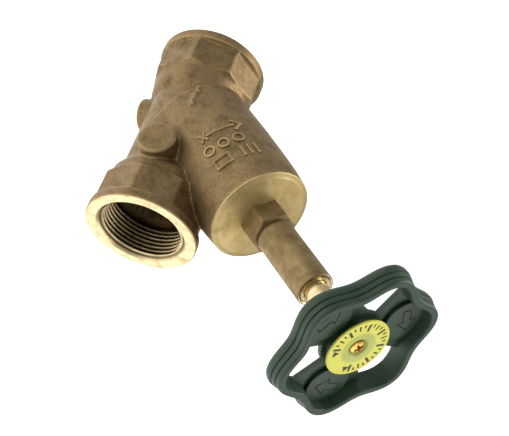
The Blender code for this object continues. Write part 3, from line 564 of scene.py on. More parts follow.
def cut_gunmetal(hues):
    """The casting's metal where it was turned: pale and bright, with painted shade in the thread valleys and down
    in the sockets.
    """
    tones = (5, 4.0, (0.3, hues.bonnet), (0.5, hues.machined))
    material, shader, bright = turned_metal("machined_gunmetal", ALONG_X, tones,
                                            (0.42, 0.24), (0.45, 0.03, 0.5))
    # Painted shade: the thread valleys and the deeper part of each socket are blended towards a dark colour
    dark = blend(material, socket_shade_mask(material), bright, linear(hues.socket_painted_shade))
    connect(material, shader, Base_Color=dark)
    return material


def drawn_brass(name, light, dark):
    """Bar brass turned with a sharp tool, left bright."""
    tones = (3, 4.0, (0.35, dark), (0.6, light))
    return turned_metal(name, AXIS, tones, (0.32, 0.2), (0.5, 0.02, 0.4))[0]


def stainless(hues):
    """Turned stainless steel, as rings and clips are."""
    tones = (2, 3.0, (0.3, hues.steel_dark), (0.7, hues.steel))
    return turned_metal("turned_stainless", AXIS, tones, (0.36, 0.22), (0.4, 0.015, 0.4))[0]


def blasted_brass(name, light, dark, blotch_mm):
    """Turned brass that was blasted dull: faint rings under a satin skin, with handling marks."""
    material, shader = new_material(name)
    where = place_pattern(material, AXIS)
    tone = speckle(material, where, blotch_mm, 5.0, 0.6)
    colour = ramp(material, tone, (0.34, dark), (0.62, light))
    rough = ramp(material, tone, (0.3, 0.6), (0.7, 0.46))
    satin = bump(material, speckle(material, where, 0.35, 2.0), 0.02, 0.5)
    rings = bump(material, turning_lines(material, where, 0.6), 0.02, 0.35, satin)
    shader.inputs["Metallic"].default_value = 1.0
    connect(material, shader, Base_Color=colour, Roughness=rough, Normal=rings)
    return material


def moulded(name, tones, rough, grain_mm, depth_mm, ior):
    """A soft or plastic piece: nearly even colour with a fine grain."""
    material, shader = new_material(name)
    where = place_pattern(material)
    patch_mm, dark, light = tones
    tone = speckle(material, where, patch_mm, 4.0)
    grain = bump(material, speckle(material, where, grain_mm, 3.0), depth_mm, 0.6)
    shader.inputs["IOR"].default_value = ior
    connect(material, shader, Normal=grain,
            Base_Color=ramp(material, tone, (0.35, dark), (0.75, light)),
            Roughness=ramp(material, tone, (0.3, rough[0]), (0.7, rough[1])))
    return material


def seal_rubber(hues):
    """Moulded nitrile rubber: nearly black, dull, with a faint bloom."""
    tones = (6, hues.rubber, hues.rubber_bloom)
    return moulded("moulded_rubber", tones, (0.7, 0.55), 0.5, 0.02, 1.52)


def bearing_plastic(hues):
    """Turned white PTFE: waxy and even."""
    tones = (6, hues.slide, hues.slide_light)
    return moulded("turned_ptfe", tones, (0.5, 0.38), 0.4, 0.01, 1.38)


def wheel_plastic(hues):
    """Glass-filled nylon in dark green: satin, a fine grain, greyer where hands rub it."""
    material, shader = new_material("moulded_green_nylon")
    where = place_pattern(material)
    tone = speckle(material, where, 9, 4.0)
    base = ramp(material, tone, (0.35, hues.wheel), (0.8, hues.wheel_worn))
    edge = add_node(material, "ShaderNodeNewGeometry").outputs["Pointiness"]
    rubbed = ramp(material, edge, (0.51, 0.0), (0.6, 0.8))
    colour = blend(material, rubbed, base, linear(hues.wheel_worn))
    grain = speckle(material, where, 0.6, 3.0, 0.6)
    rough = ramp(material, grain, (0.3, 0.6), (0.7, 0.42))
    skin = bump(material, grain, 0.04, 0.45)
    shader.inputs["IOR"].default_value = 1.53
    connect(material, shader, Base_Color=colour, Roughness=rough, Normal=skin)
    return material


def label_plastic(hues):
    """Printed acrylic cover: glossy yellow, with an olive zone round the screw."""
    material, shader = new_material("printed_yellow_acrylic")
    upright = place_pattern(material, AXIS)
    flat = add_node(material, "ShaderNodeVectorMath", {0: upright, 1: (1, 1, 0)},
                    operation="MULTIPLY").outputs[0]
    reach = add_node(material, "ShaderNodeVectorMath", {0: flat}, operation="LENGTH").outputs[1]
    share = add_node(material, "ShaderNodeMath", {0: reach, 1: LABEL_RADIUS},
                     operation="DIVIDE").outputs[0]
    cloud = speckle(material, upright, 4, 3.0)
    zone = ramp(material, share, (0.50, hues.label_inner), (0.60, hues.label))
    faded = ramp(material, cloud, (0.3, 0.9), (0.7, 1.0))
    colour = blend(material, 0.6, zone, faded, "MULTIPLY")
    rough = ramp(material, cloud, (0.3, 0.4), (0.7, 0.28))
    skin = bump(material, speckle(material, upright, 1.2, 2.0), 0.01, 0.5)
    shader.inputs["IOR"].default_value = 1.49
    connect(material, shader, Base_Color=colour, Roughness=rough, Normal=skin)
    return material


def printing_ink(hues):
    """Matt screen-printing ink with a slightly broken edge to its tone."""
    tones = (1, hues.print_ink, hues.print_thin)
    return moulded("printing_ink", tones, (0.65, 0.5), 0.4, 0.01, 1.5)


FINISHES = {}


def finish(name):
    """Each finish is made once, when a piece first asks for it."""
    hues = bpy.context.scene.valve_finishes
    makers = {
        "cast": cast_gunmetal,
        "cut": cut_gunmetal,
        "flange": lambda h: blasted_brass("blasted_brass", h.bonnet, h.bonnet_dark, 9),
        "tube": lambda h: blasted_brass("stained_brass", h.tube, h.tube_dark, 6),
        "brass": lambda h: drawn_brass("turned_brass", h.machined, h.bonnet),
        "screw": lambda h: drawn_brass("yellow_brass", h.screw, h.screw_dark),
        "steel": stainless,
        "rubber": seal_rubber,
        "ptfe": bearing_plastic,
        "green": wheel_plastic,
        "label": label_plastic,
        "ink": printing_ink,
    }
    if name not in FINISHES:
        FINISHES[name] = makers[name](hues)
    return FINISHES[name]


# ------------------------------------------------------------------ casting
def barrel_outline(sizes):
    """Outer side of the slanted branch, from its neck down."""
    start = sizes.barrel_start
    taper = NECK_TOP - 8 * MM
    middle = (start + taper) / 2
    return [
        (sizes.neck_radius, NECK_TOP + MM),
        (sizes.neck_radius + 0.9 * MM, taper),
        (sizes.barrel_radius - 0.3 * MM, (middle + taper) / 2),
        (sizes.barrel_radius, middle),
        (sizes.barrel_radius, start + 0.7 * MM),
        (sizes.barrel_radius - 0.7 * MM, start),
    ]


def barrel_radius_at(sizes, height):
    """Outside radius of the branch at a height."""
    points = barrel_outline(sizes)
    for (r0, h0), (r1, h1) in zip(points, points[1:]):
        if h1 <= height <= h0:
            return r1 + (r0 - r1) * (height - h1) / (h0 - h1)
    raise ValueError("height %.4f is off the branch" % height)


def pipe_wall(sizes):
    """Pipe wall with its two collars, turned about X and a little too long."""
    core = sizes.flats / 2 - 0.3 * MM
    grip_end = END_X - sizes.collar_width
    grip_start = grip_end - sizes.flats_width
    waist_start = CROSSING - 3 * MM
    longer = END_X + MM
    points = [
        (0, longer),
        (sizes.collar_radius, longer),
        (sizes.collar_radius, grip_end),
        (core, grip_end - 0.5 * MM),
        (core, grip_start),
        (core - 0.5 * MM, grip_start - 5 * MM),
        (sizes.waist_radius, grip_start - 10 * MM),
        (sizes.waist_radius, waist_start),
        (core - 1.5 * MM, waist_start - 4 * MM),
        (core, -grip_start),
        (core, 0.5 * MM - grip_end),
        (sizes.collar_radius, -grip_end),
        (sizes.collar_radius, -longer),
        (0, -longer),
    ]
    return settle(lathe("pipe_wall", points), ALONG_X)


def wrench_grip(sizes, side):
    """Octagon with its corners up and down, chamfered towards the waist as a nut is."""
    start = END_X - sizes.collar_width - sizes.flats_width
    end = END_X - sizes.collar_width + 0.3 * MM
    grip = prism("wrench_grip", sizes.flats, 8, start - 0.3 * MM, end)
    apply(grip, "BEVEL", width=0.7 * MM, segments=2, limit_method="ANGLE",
          angle_limit=math.radians(30))
    corner = sizes.flats / 2 / math.cos(math.pi / 8)
    envelope = lathe("nut_chamfer", [
        (0, end + MM),
        (corner + MM, end + MM),
        (corner + MM, start + 2.2 * MM),
        (sizes.flats / 2 - 0.2 * MM, start - 0.3 * MM),
        (0, start - 0.3 * MM),
    ], sides=96)
    carve(grip, envelope, "INTERSECT")
    return settle(grip, Matrix.Rotation(side * math.pi / 2, 4, "Y"))


def drain_boss(name, radius, reach, matrix):
    rounding = arc((radius - 1.2 * MM, reach - 1.2 * MM), 1.2 * MM, 90, 0)
    boss = lathe(name, [(0, reach)] + rounding + [(radius, 15 * MM), (0, 15 * MM)], sides=64)
    return settle(boss, matrix)


def on_branch(sizes, obj, direction, height):
    """Wraps a flat mark round the branch: x runs round it, y along it, z out of it."""
    middle = math.radians(direction)
    for vertex in obj.data.vertices:
        across, along, out = vertex.co
        level = height + along
        radius = barrel_radius_at(sizes, level)
        turn = middle + across / radius
        vertex.co = ((radius + out) * math.cos(turn), (radius + out) * math.sin(turn), level)
    return settle(obj, AXIS)


def raised_bar(x, y, length_mm, width_mm, turn=0.0):
    """A flat ridge with sloping sides, cut into short steps so that it can be wrapped."""
    half = Vector((length_mm / 2, width_mm / 2, 0)) * MM
    ridge = bar("ridge", (-half.x, -half.y, -0.8 * MM), (half.x, half.y, 0.75 * MM))

    def divide():
        bpy.ops.mesh.subdivide(number_cuts=5)

    edit(ridge, divide)
    for vertex in ridge.data.vertices:
        if vertex.co.z > 0.7 * MM:
            vertex.co.x *= 1 - 0.25 * MM / half.x
            vertex.co.y *= 1 - 0.25 * MM / half.y
    place = Matrix.Translation((x * MM, y * MM, 0))
    return settle(ridge, place @ Matrix.Rotation(math.radians(turn), 4, "Z"))


def raised_ring(x, y, radius_mm):
    inner = (radius_mm - 1.1) * MM
    outer = radius_mm * MM
    ring = lathe("pip", [(outer - 0.2 * MM, 0.75 * MM), (outer, -0.8 * MM),
                         (inner, -0.8 * MM), (inner + 0.2 * MM, 0.75 * MM)], True, 24)
    return settle(ring, Matrix.Translation((x * MM, y * MM, 0)))


def flow_marks():
    """Plain founder's marks: a flow arrow, a row of rings and a row of bars."""
    arrow = [raised_bar(1.5, 0, 15, 1.3), raised_bar(-7.2, 1.6, 5.4, 1.3, 40),
             raised_bar(-7.2, -1.6, 5.4, 1.3, -40)]
    fletching = [raised_bar(10, 0, 6, 1.2, turn) for turn in (55, -55)]
    rings = [raised_ring(x, 0, 3.0) for x in (-6.5, 1, 8.5)]
    bars = [raised_bar(x, 0, 6.4, 1.3, 90) for x in (-11.5, -8, -4.5)]
    frame_sides = [raised_bar(6, 2.6, 9, 1.3), raised_bar(6, -2.6, 9, 1.3),
                   raised_bar(2.1, 0, 5.4, 1.3, 90), raised_bar(9.9, 0, 5.4, 1.3, 90)]
    return (arrow + fletching, 262, 40.5), (rings, 268, 49.5), (bars + frame_sides, 268, 58.5)


def flash_line(sizes, casting):
    """Ragged rest of a mould joint, near the foot of the branch."""
    for i in range(12):
        height = (8.5 + 0.85 * i) * MM
        wander = 1.8 * math.sin(1.9 * i) + 1.1 * math.sin(4.3 * i)
        turn = math.radians(254 + 1.8 * i + wander)
        radius = barrel_radius_at(sizes, height)
        size = (0.95 + 0.3 * math.sin(2.7 * i)) * MM
        deselect()
        bpy.ops.mesh.primitive_ico_sphere_add(subdivisions=2, radius=size)
        bead = bpy.context.object
        spot = Vector((radius * math.cos(turn), radius * math.sin(turn), height))
        settle(bead, AXIS @ Matrix.Translation(spot) @ Matrix.Diagonal((1, 1, 1.6, 1)))
        carve(casting, bead, "UNION")


def rough_casting(sizes):
    """Everything that the sand mould gives, with its soft corners."""
    casting = pipe_wall(sizes)
    for side in (1, -1):
        carve(casting, wrench_grip(sizes, side), "UNION")
    waist = sizes.waist_radius
    root = sizes.barrel_start - 3.5 * MM
    branch = [(0, NECK_TOP + MM)] + barrel_outline(sizes) + [(waist, root), (0, root)]
    carve(casting, settle(lathe("branch", branch), AXIS), "UNION")
    side_boss = Matrix.Translation((sizes.side_boss_x, 0, 0)) @ Matrix.Rotation(
        math.pi / 2 - sizes.side_boss_turn, 4, "X")
    lower_boss = Matrix.Translation((sizes.lower_boss_x, 0, 0)) @ Matrix.Rotation(math.pi, 4, "X")
    for name, radius, reach, place in (
        ("side_boss", sizes.side_boss_radius, sizes.side_boss_reach, side_boss),
        ("lower_boss", sizes.boss_radius, sizes.lower_boss_reach, lower_boss),
    ):
        carve(casting, drain_boss(name, radius, reach, place), "UNION")
    flash_line(sizes, casting)
    apply(casting, "REMESH", mode="VOXEL", voxel_size=sizes.grain, adaptivity=0.0)
    apply(casting, "SMOOTH", factor=0.5, iterations=2)
    for marks, direction, height in flow_marks():
        for mark in marks:
            carve(casting, on_branch(sizes, mark, direction, height * MM), "UNION")
    return casting


def water_way(sizes, side):
    """Water passage of one side, which ends at the partition."""
    radius = sizes.passage_radius
    low = CROSSING - 2 * radius if side > 0 else -END_X
    high = END_X if side > 0 else 2 * radius
    deselect()
    bpy.ops.mesh.primitive_cylinder_add(vertices=96, radius=radius, depth=high - low,
                                        location=(0, 0, (high + low) / 2))
    tool = settle(bpy.context.object, ALONG_X @ bpy.context.object.matrix_world.inverted()
                  @ Matrix.Translation((0, 0, (high + low) / 2)))
    tool.name = "water_way"
    level = sizes.floor_height + 0.3 * MM if side > 0 else sizes.floor_height - sizes.partition
    up = AXIS.to_3x3() @ Vector((0, 0, 1))
    return slice_off(tool, AXIS @ Vector((0, 0, level)), -up if side > 0 else up)


def socket_bore(sizes):
    """Relief behind the thread, and the shoulder down to the water passage."""
    inner = END_X - sizes.socket_depth
    return lathe("socket_bore", [
        (0, inner + 2.5 * MM),
        (sizes.thread_minor + 0.7 * MM, inner + 2.5 * MM),
        (sizes.thread_minor + 0.7 * MM, inner),
        (sizes.passage_radius - 0.3 * MM, inner - 1.5 * MM),
        (0, inner - 1.5 * MM),
    ])


def mouth_chamfer(sizes):
    mouth = sizes.thread_major + 1.2 * MM
    return lathe("mouth_chamfer", [
        (0, END_X + MM),
        (mouth + MM, END_X + MM),
        (mouth - 2 * MM, END_X - 2 * MM),
        (0, END_X - 2 * MM),
    ])


def pipe_tap(sizes):
    """A tap with the pipe thread's own turns, closed at both ends."""
    pitch = sizes.thread_pitch
    crest = sizes.thread_minor
    valley = sizes.thread_major
    first = END_X - sizes.socket_depth + MM
    turns = math.ceil(sizes.socket_depth / pitch) + 3
    shape = [(0.0, crest), (0.10, crest), (0.44, valley), (0.56, valley), (0.90, crest), (1.0, crest)]
    base = first - 1.5 * pitch
    tap = outline("pipe_tap", [(radius, base + share * pitch) for share, radius in shape], False)
    apply(tap, "SCREW", screw_offset=pitch, iterations=turns, steps=96, render_steps=96,
          use_merge_vertices=False)
    edit(tap, face_outwards)
    slice_off(tap, (0, 0, END_X + 0.8 * MM), (0, 0, 1))
    slice_off(tap, (0, 0, first), (0, 0, -1))
    return edit(tap, face_outwards)


def turned_ends(sizes):
    """What the lathe leaves of the end collars: flat faces and a small outer chamfer."""
    edge = sizes.collar_radius - 0.5 * MM
    clear = 2 * END_X
    slope = [(0, END_X), (edge, END_X), (edge + 1.4 * MM, END_X - 1.4 * MM),
             (clear, END_X - 1.5 * MM)]
    envelope = lathe("turned_ends", slope + [(r, -h) for r, h in reversed(slope)])
    return settle(envelope, ALONG_X)


def make_casting():
    sizes = bpy.context.scene.valve_casting
    casting = rough_casting(sizes)
    carve(casting, turned_ends(sizes), "INTERSECT")
    up = AXIS.to_3x3() @ Vector((0, 0, 1))
    slice_off(casting, AXIS @ Vector((0, 0, NECK_TOP)), up)
    floor = sizes.floor_height
    chamber = lathe("chamber", [
        (0, NECK_TOP + MM),
        (sizes.chamber_radius, NECK_TOP + MM),
        (sizes.chamber_radius, floor + 3 * MM),
        (sizes.chamber_radius - 2.2 * MM, floor),
        (0, floor),
    ])
    carve(casting, settle(chamber, AXIS))
    hole = lathe("seat_bore", [(0, floor + MM), (sizes.seat_hole, floor + MM),
                               (sizes.seat_hole, -4.8 * MM), (0, -4.8 * MM)])
    carve(casting, settle(hole, AXIS))
    for side in (1, -1):
        facing = Matrix.Rotation(side * math.pi / 2, 4, "Y")
        carve(casting, water_way(sizes, side))
        carve(casting, settle(socket_bore(sizes), facing))
        carve(casting, settle(pipe_tap(sizes), facing))
        carve(casting, settle(mouth_chamfer(sizes), facing))
    return shade(casting, 40)


def mark_cut_faces(casting, sizes):
    """Second finish on what the lathe has touched: end faces, sockets, chamber and neck."""
    upright = AXIS.inverted()
    deepest = END_X - sizes.socket_depth - 2 * MM
    for face in casting.data.polygons:
        centre = face.center
        on_axis = upright @ centre
        from_pipe = centre.yz.length
        in_socket = abs(centre.x) > deepest and from_pipe < sizes.thread_major + MM
        on_end = abs(centre.x) > END_X - 0.3 * MM
        in_neck = on_axis.z > sizes.floor_height and on_axis.xy.length < sizes.chamber_radius + 0.1 * MM
        if in_socket or on_end or in_neck:
            face.material_index = 1


# ------------------------------------------------------------------ bonnet and stem
def groove(radius, depth, height, half):
    return [(radius, height - half), (depth, height - half), (depth, height + half),
            (radius, height + half)]


def make_bonnet():
    sizes = bpy.context.scene.valve_bonnet
    neck = bpy.context.scene.valve_casting.neck_radius
    edge_top = FLANGE_BOTTOM + sizes.flange_edge
    hex_bottom = edge_top + sizes.dome
    spigot_bottom = FLANGE_BOTTOM - 14 * MM
    tube = sizes.tube_radius
    bevel_radius = neck - sizes.bevel_width
    outside = [(sizes.mouth_radius + 0.3 * MM, TUBE_TOP)]
    outside += arc((tube - 0.7 * MM, TUBE_TOP - 0.7 * MM), 0.7 * MM, 90, 0)
    outside += [
        (tube, hex_bottom + 12.4 * MM),
        (tube - 0.45 * MM, hex_bottom + 11.8 * MM),
        (tube - 0.45 * MM, hex_bottom + 0.4 * MM),
        (tube + 2.6 * MM, hex_bottom - 0.25 * MM),
        (bevel_radius, edge_top + sizes.bevel),
        (bevel_radius + 0.25 * MM, edge_top + sizes.bevel - 0.2 * MM),
    ]
    outside += arc((neck - 0.5 * MM, edge_top - 0.35 * MM), 0.5 * MM, 80, 0)
    outside.append((neck, FLANGE_BOTTOM))
    seal = FLANGE_BOTTOM - 2.6 * MM
    spigot = [(sizes.spigot_radius, FLANGE_BOTTOM)]
    spigot += groove(sizes.spigot_radius, sizes.spigot_radius - 1.7 * MM, seal, 1.1 * MM)[::-1]
    spigot += [
        (sizes.spigot_radius, spigot_bottom + MM),
        (sizes.spigot_radius - MM, spigot_bottom),
        (sizes.nose_radius, spigot_bottom - 3 * MM),
        (sizes.nose_radius, NOSE_BOTTOM + MM),
        (sizes.nose_radius - MM, NOSE_BOTTOM),
        (sizes.stem_hole, NOSE_BOTTOM),
    ]
    bore = []
    for rise in (3.4, 7.8):
        bore += groove(sizes.stem_hole, sizes.stem_hole + 1.9 * MM, NOSE_BOTTOM + rise * MM, 1.2 * MM)
    gland = TUBE_TOP - 13.1 * MM
    mouth = sizes.mouth_radius
    bore += [
        (sizes.stem_hole, NOSE_BOTTOM + 12 * MM),
        (mouth, NOSE_BOTTOM + 12 * MM),
        (mouth, NOSE_BOTTOM + 20 * MM),
        (sizes.thread_hole, NOSE_BOTTOM + 20 * MM),
        (sizes.thread_hole, gland),
        (mouth, gland),
    ]
    bore.append((mouth, TUBE_TOP - 0.35 * MM))
    bonnet = lathe("bonnet", outside + spigot + bore, True, 160)
    carve(bonnet, hexagon(sizes, hex_bottom), "UNION")
    return shade(settle(bonnet, AXIS), 30)


def hexagon(sizes, bottom):
    """Hexagon with a turned chamfer at its top and slightly bevelled edges, hollow round the tube."""
    top = bottom + sizes.hex_height
    grip = prism("bonnet_hexagon", sizes.hex_flats, 6, bottom - 0.8 * MM, top, sizes.hex_turn)
    apply(grip, "BEVEL", width=0.35 * MM, segments=2, limit_method="ANGLE",
          angle_limit=math.radians(40))
    flat = sizes.hex_flats / 2
    carve(grip, lathe("hexagon_chamfer", [
        (0, top),
        (flat - 0.2 * MM, top),
        (flat + 2.6 * MM, top - 1.5 * MM),
        (flat + 2.6 * MM, bottom - MM),
        (0, bottom - MM),
    ]), "INTERSECT")
    core = sizes.tube_radius - 0.6 * MM
    hole = lathe("hexagon_core", [(0, top + MM), (core, top + MM), (core, bottom - 2 * MM),
                                  (0, bottom - 2 * MM)])
    return carve(grip, hole)


def mark_tube(bonnet, sizes):
    """Duller finish on the hexagon and tube, and bright metal on the tube's cut mouth."""
    upright = AXIS.inverted()
    root = FLANGE_BOTTOM + sizes.flange_edge + sizes.dome
    for face in bonnet.data.polygons:
        centre = upright @ face.center
        if centre.z > TUBE_TOP - MM and centre.xy.length < sizes.tube_radius - 0.5 * MM:
            face.material_index = 2
        elif centre.z > root + 0.1 * MM:
            face.material_index = 1


def make_stem():
    """Turned stem: collar at its tip, trapezoidal thread, and a square for the handwheel."""
    sizes = bpy.context.scene.valve_stem
    radius = sizes.radius
    points = [(0, SQUARE_BOTTOM)]
    points += arc((radius - 0.5 * MM, SQUARE_BOTTOM - 0.5 * MM), 0.5 * MM, 90, 0)
    for i in range(sizes.thread_ridges):
        top = sizes.thread_top - i * sizes.thread_pitch
        points += [(radius, top), (sizes.thread_radius, top - 0.6 * MM),
                   (sizes.thread_radius, top - 2 * MM), (radius, top - 2.6 * MM)]
    collar_top = STEM_TIP + 4.1 * MM
    collar_bottom = STEM_TIP + 0.6 * MM
    points += [
        (radius, collar_top),
        (sizes.collar_radius, collar_top),
        (sizes.collar_radius, collar_bottom),
        (radius / 2, STEM_TIP),
        (0, STEM_TIP),
    ]
    stem = lathe("stem", points, sides=96)
    half = sizes.square / 2
    key = bar("stem_square", (-half, -half, SQUARE_BOTTOM - MM), (half, half, STEM_TOP))
    apply(key, "BEVEL", width=0.5 * MM, segments=2)
    carve(stem, key, "UNION")
    hole = lathe("stem_tapping", [(0, STEM_TOP + MM), (sizes.tapping, STEM_TOP + MM),
                                  (sizes.tapping, STEM_TOP - 12 * MM), (0, STEM_TOP - 13.4 * MM)])
    carve(stem, hole)
    return shade(settle(stem, AXIS), 30)


# ------------------------------------------------------------------ handwheel
def lobed(sizes, obj, inside=0.0):
    """Pushes what lies outside a radius out into lobes and in between them."""
    for vertex in obj.data.vertices:
        radius = vertex.co.xy.length
        if radius > inside:
            turn = math.atan2(vertex.co.y, vertex.co.x) - sizes.lobe_turn
            pushed = radius + sizes.lobe_depth * math.cos(sizes.lobes * turn)
            vertex.co.x *= pushed / radius
            vertex.co.y *= pushed / radius
    return obj


def wheel_rim(sizes):
    """Rim with a rounded front, two parting grooves and a proud middle band."""
    front = sizes.rim_front
    inner = front - sizes.rim_width
    depths = [
        (0.15, 2.5), (-0.25, 2.7), (-0.25, 3.05), (0.4, 3.3), (0.85, 5.0),
        (0.55, 5.25), (0.55, 5.6), (1.2, 5.85), (1.5, 7.0), (1.4, 8.4), (1.05, 9.3),
    ]
    points = arc((front - 1.2 * MM, WHEEL_TOP - 1.2 * MM), 1.2 * MM, 90, 5, 5)
    points += [(front + out * MM, WHEEL_TOP - down * MM) for out, down in depths]
    bottom = WHEEL_TOP - sizes.rim_height
    points += [(front + 0.5 * MM, bottom), (inner - 0.9 * MM, bottom)]
    points += arc((inner + 0.9 * MM, WHEEL_TOP - 0.9 * MM), 0.9 * MM, 180, 92)
    return lobed(sizes, lathe("handwheel", points, True, 180))


def window_cutter(sizes, direction, bottom, top):
    """Window that follows the rim inside, with rounded corners."""
    half = sizes.window_angle / 2
    rim = sizes.rim_front - sizes.rim_width
    tool = lathe("window", [(rim - 0.2 * MM, top), (rim - 0.2 * MM, bottom),
                            (sizes.window_start, bottom), (sizes.window_start, top)], True, 180)
    lobed(sizes, tool, rim - MM)
    for side in (1, -1):
        turn = direction + side * half
        edge = Vector((math.cos(turn), math.sin(turn), 0))
        normal = Vector((-edge.y, edge.x, 0)) * side
        slice_off(tool, (0, 0, 0), normal)
    apply(tool, "BEVEL", width=sizes.window_rounding, segments=3, limit_method="ANGLE",
          angle_limit=math.radians(60))
    return tool


def pad_arrow(sizes, direction, top):
    """Engraved outline of a plain arrow that shows the closing direction."""
    shape = [(-6, -1.9), (0.6, -1.9), (0.6, -4.4), (6.4, 0), (0.6, 4.4), (0.6, 1.9), (-6, 1.9)]
    drawing = bpy.data.curves.new("pad_arrow", "CURVE")
    drawing.dimensions = "3D"
    drawing.bevel_depth = sizes.arrow_groove
    drawing.bevel_resolution = 2
    line = drawing.splines.new("POLY")
    line.points.add(len(shape) - 1)
    line.use_cyclic_u = True
    for point, (x, y) in zip(line.points, shape):
        point.co = (x * MM, y * MM, 0, 1)
    obj = bpy.data.objects.new("pad_arrow", drawing)
    bpy.context.scene.collection.objects.link(obj)
    only(obj)
    bpy.ops.object.convert(target="MESH")
    centre = Matrix.Rotation(direction, 4, "Z") @ Vector((sizes.pad_distance + 0.6 * MM, 0, 0))
    turn = Matrix.Rotation(direction - math.pi / 2, 4, "Z")
    lift = Matrix.Translation((centre.x, centre.y, top + 0.05 * MM))
    return settle(bpy.context.object, lift @ turn)


def make_handwheel():
    sizes = bpy.context.scene.valve_wheel
    wheel = wheel_rim(sizes)
    web_top = WHEEL_TOP - sizes.web_drop
    web_bottom = web_top - sizes.web
    hub_top = span("label_disc")[0] + 1.1 * MM
    rim = sizes.rim_front - sizes.rim_width
    step = 2 * math.pi / sizes.lobes
    middle = (sizes.hub_radius + sizes.insert_hole) / 2
    web = lathe("wheel_web", [(rim + 1.6 * MM, web_top), (rim + 1.6 * MM, web_bottom),
                              (middle, web_bottom), (middle, web_top)], True, 180)
    lobed(sizes, web, rim)
    for i in range(1, sizes.lobes, 2):
        direction = sizes.lobe_turn + i * step
        carve(web, window_cutter(sizes, direction, web_bottom - MM, web_top + MM))
    carve(wheel, web, "UNION")
    pad_top = WHEEL_TOP - sizes.pad_drop
    pads = [sizes.lobe_turn + i * step for i in range(0, sizes.lobes, 2)]
    for direction in pads:
        radius = sizes.pad_radius
        rounding = arc((radius - 0.4 * MM, pad_top - 0.4 * MM), 0.4 * MM, 90, 0, 3)
        pad = lathe("pad", [(0, pad_top)] + rounding
                    + [(radius, web_bottom + 0.3 * MM), (0, web_bottom + 0.3 * MM)], sides=72)
        centre = Matrix.Rotation(direction, 4, "Z") @ Vector((sizes.pad_distance, 0, 0))
        carve(wheel, settle(pad, Matrix.Translation(centre)), "UNION")
    hub = lathe("hub", [
        (sizes.hub_radius, hub_top),
        (sizes.hub_radius, web_bottom - MM),
        (sizes.hub_radius - MM, HUB_BOTTOM),
        (sizes.stem_hole, HUB_BOTTOM),
        (sizes.stem_hole, SQUARE_BOTTOM),
        (sizes.insert_hole, SQUARE_BOTTOM),
        (sizes.insert_hole, hub_top),
    ], True, 96)
    carve(wheel, hub, "UNION")
    for direction in pads:
        carve(wheel, pad_arrow(sizes, direction, pad_top))
    return shade(settle(wheel, AXIS), 32)


def make_label():
    """Cover disc, dished a little round the screw."""
    top = LABEL_TOP
    bottom = top - 0.9 * MM
    edge = LABEL_RADIUS
    boss = SCREW_RADIUS + 2 * MM
    hole = 2.8 * MM
    points = arc((edge - 0.3 * MM, top - 0.3 * MM), 0.3 * MM, 90, 0, 3)
    points += [
        (edge, bottom),
        (boss, bottom),
        (boss, LABEL_BOSS),
        (hole, LABEL_BOSS),
        (hole, top - 2.1 * MM),
        (hole + 1.3 * MM, top - 0.8 * MM),
        (hole + 1.9 * MM, top - 0.8 * MM),
        (hole + 2.2 * MM, top - 0.2 * MM),
        (hole + 2.6 * MM, top),
    ]
    return shade(settle(lathe("label_disc", points, True, 128), AXIS), 30)


def scale_mark(turn, inner, outer, width, height):
    mark = bar("mark", (inner * MM, -width * MM / 2, height), (outer * MM, width * MM / 2,
                                                               height + 0.05 * MM))
    return settle(mark, Matrix.Rotation(math.radians(turn), 4, "Z"))


def make_label_print():
    """Printed scale: strokes of three lengths between two arrowheads, as on a dial."""
    height = LABEL_TOP + 0.01 * MM
    marks = []
    for i in range(25):
        turn = 60 + i * 11
        inner = 9.6 if i % 4 == 0 else 10.8 if i % 2 == 0 else 11.9
        width = 1.15 if i % 4 == 0 else 0.75
        marks.append(scale_mark(turn, inner, 13.6, width, height))
    for turn, side in ((48, 1), (336, -1)):
        deselect()
        bpy.ops.mesh.primitive_cylinder_add(vertices=3, radius=2.0 * MM, depth=0.05 * MM,
                                            location=(11.6 * MM, 0, height + 0.025 * MM),
                                            rotation=(0, 0, -side * math.pi / 2))
        marks.append(settle(settle(bpy.context.object),
                            Matrix.Rotation(math.radians(turn), 4, "Z")))
    deselect()
    for mark in marks:
        mark.select_set(True)
    bpy.context.view_layer.objects.active = marks[0]
    bpy.ops.object.join()
    return settle(bpy.context.object, AXIS)


def make_screw():
    """Raised countersunk screw with a cross recess."""
    top = SCREW_TOP
    head = SCREW_RADIUS
    neck = 2.2 * MM
    edge = LABEL_TOP - 0.5 * MM
    points = [(0, top), (1.6 * MM, top - 0.05 * MM), (2.7 * MM, top - 0.22 * MM),
              (3.5 * MM, top - 0.52 * MM), (head, edge), (neck, edge - (head - neck))]
    pitch = 0.8 * MM
    start = edge - (head - neck) - 2 * MM
    turns = int((start - SCREW_TIP) / pitch) - 1
    for i in range(turns):
        level = start - i * pitch
        points += [(neck, level), (neck - 0.35 * MM, level - pitch / 2)]
    points += [(neck - 0.35 * MM, SCREW_TIP + 0.4 * MM), (neck - 0.7 * MM, SCREW_TIP), (0, SCREW_TIP)]
    screw = lathe("handwheel_screw", points, sides=64)
    for reach, side in ((2.5 * MM, 0.62 * MM), (0.62 * MM, 2.5 * MM)):
        slot = bar("slot", (-reach, -side, top - 1.6 * MM), (reach, side, top + MM))
        for vertex in slot.data.vertices:
            if vertex.co.z < top:
                vertex.co.x *= 0.7
                vertex.co.y *= 0.7
        carve(screw, slot)
    return shade(settle(screw, AXIS), 30)


# ------------------------------------------------------------------ operators
class VALVE_OT_casting(bpy.types.Operator):
    """Cast body with machined ends, pipe threads, chamber and water ways"""
    bl_idname = "valve.casting"
    bl_label = "Valve body"

    def execute(self, context):
        casting = make_casting()
        finish_piece(casting, "body_casting", "valve_body", "valve_body", "gunmetal",
                     finish("cast"), finish("cut"))
        mark_cut_faces(casting, context.scene.valve_casting)
        return {"FINISHED"}


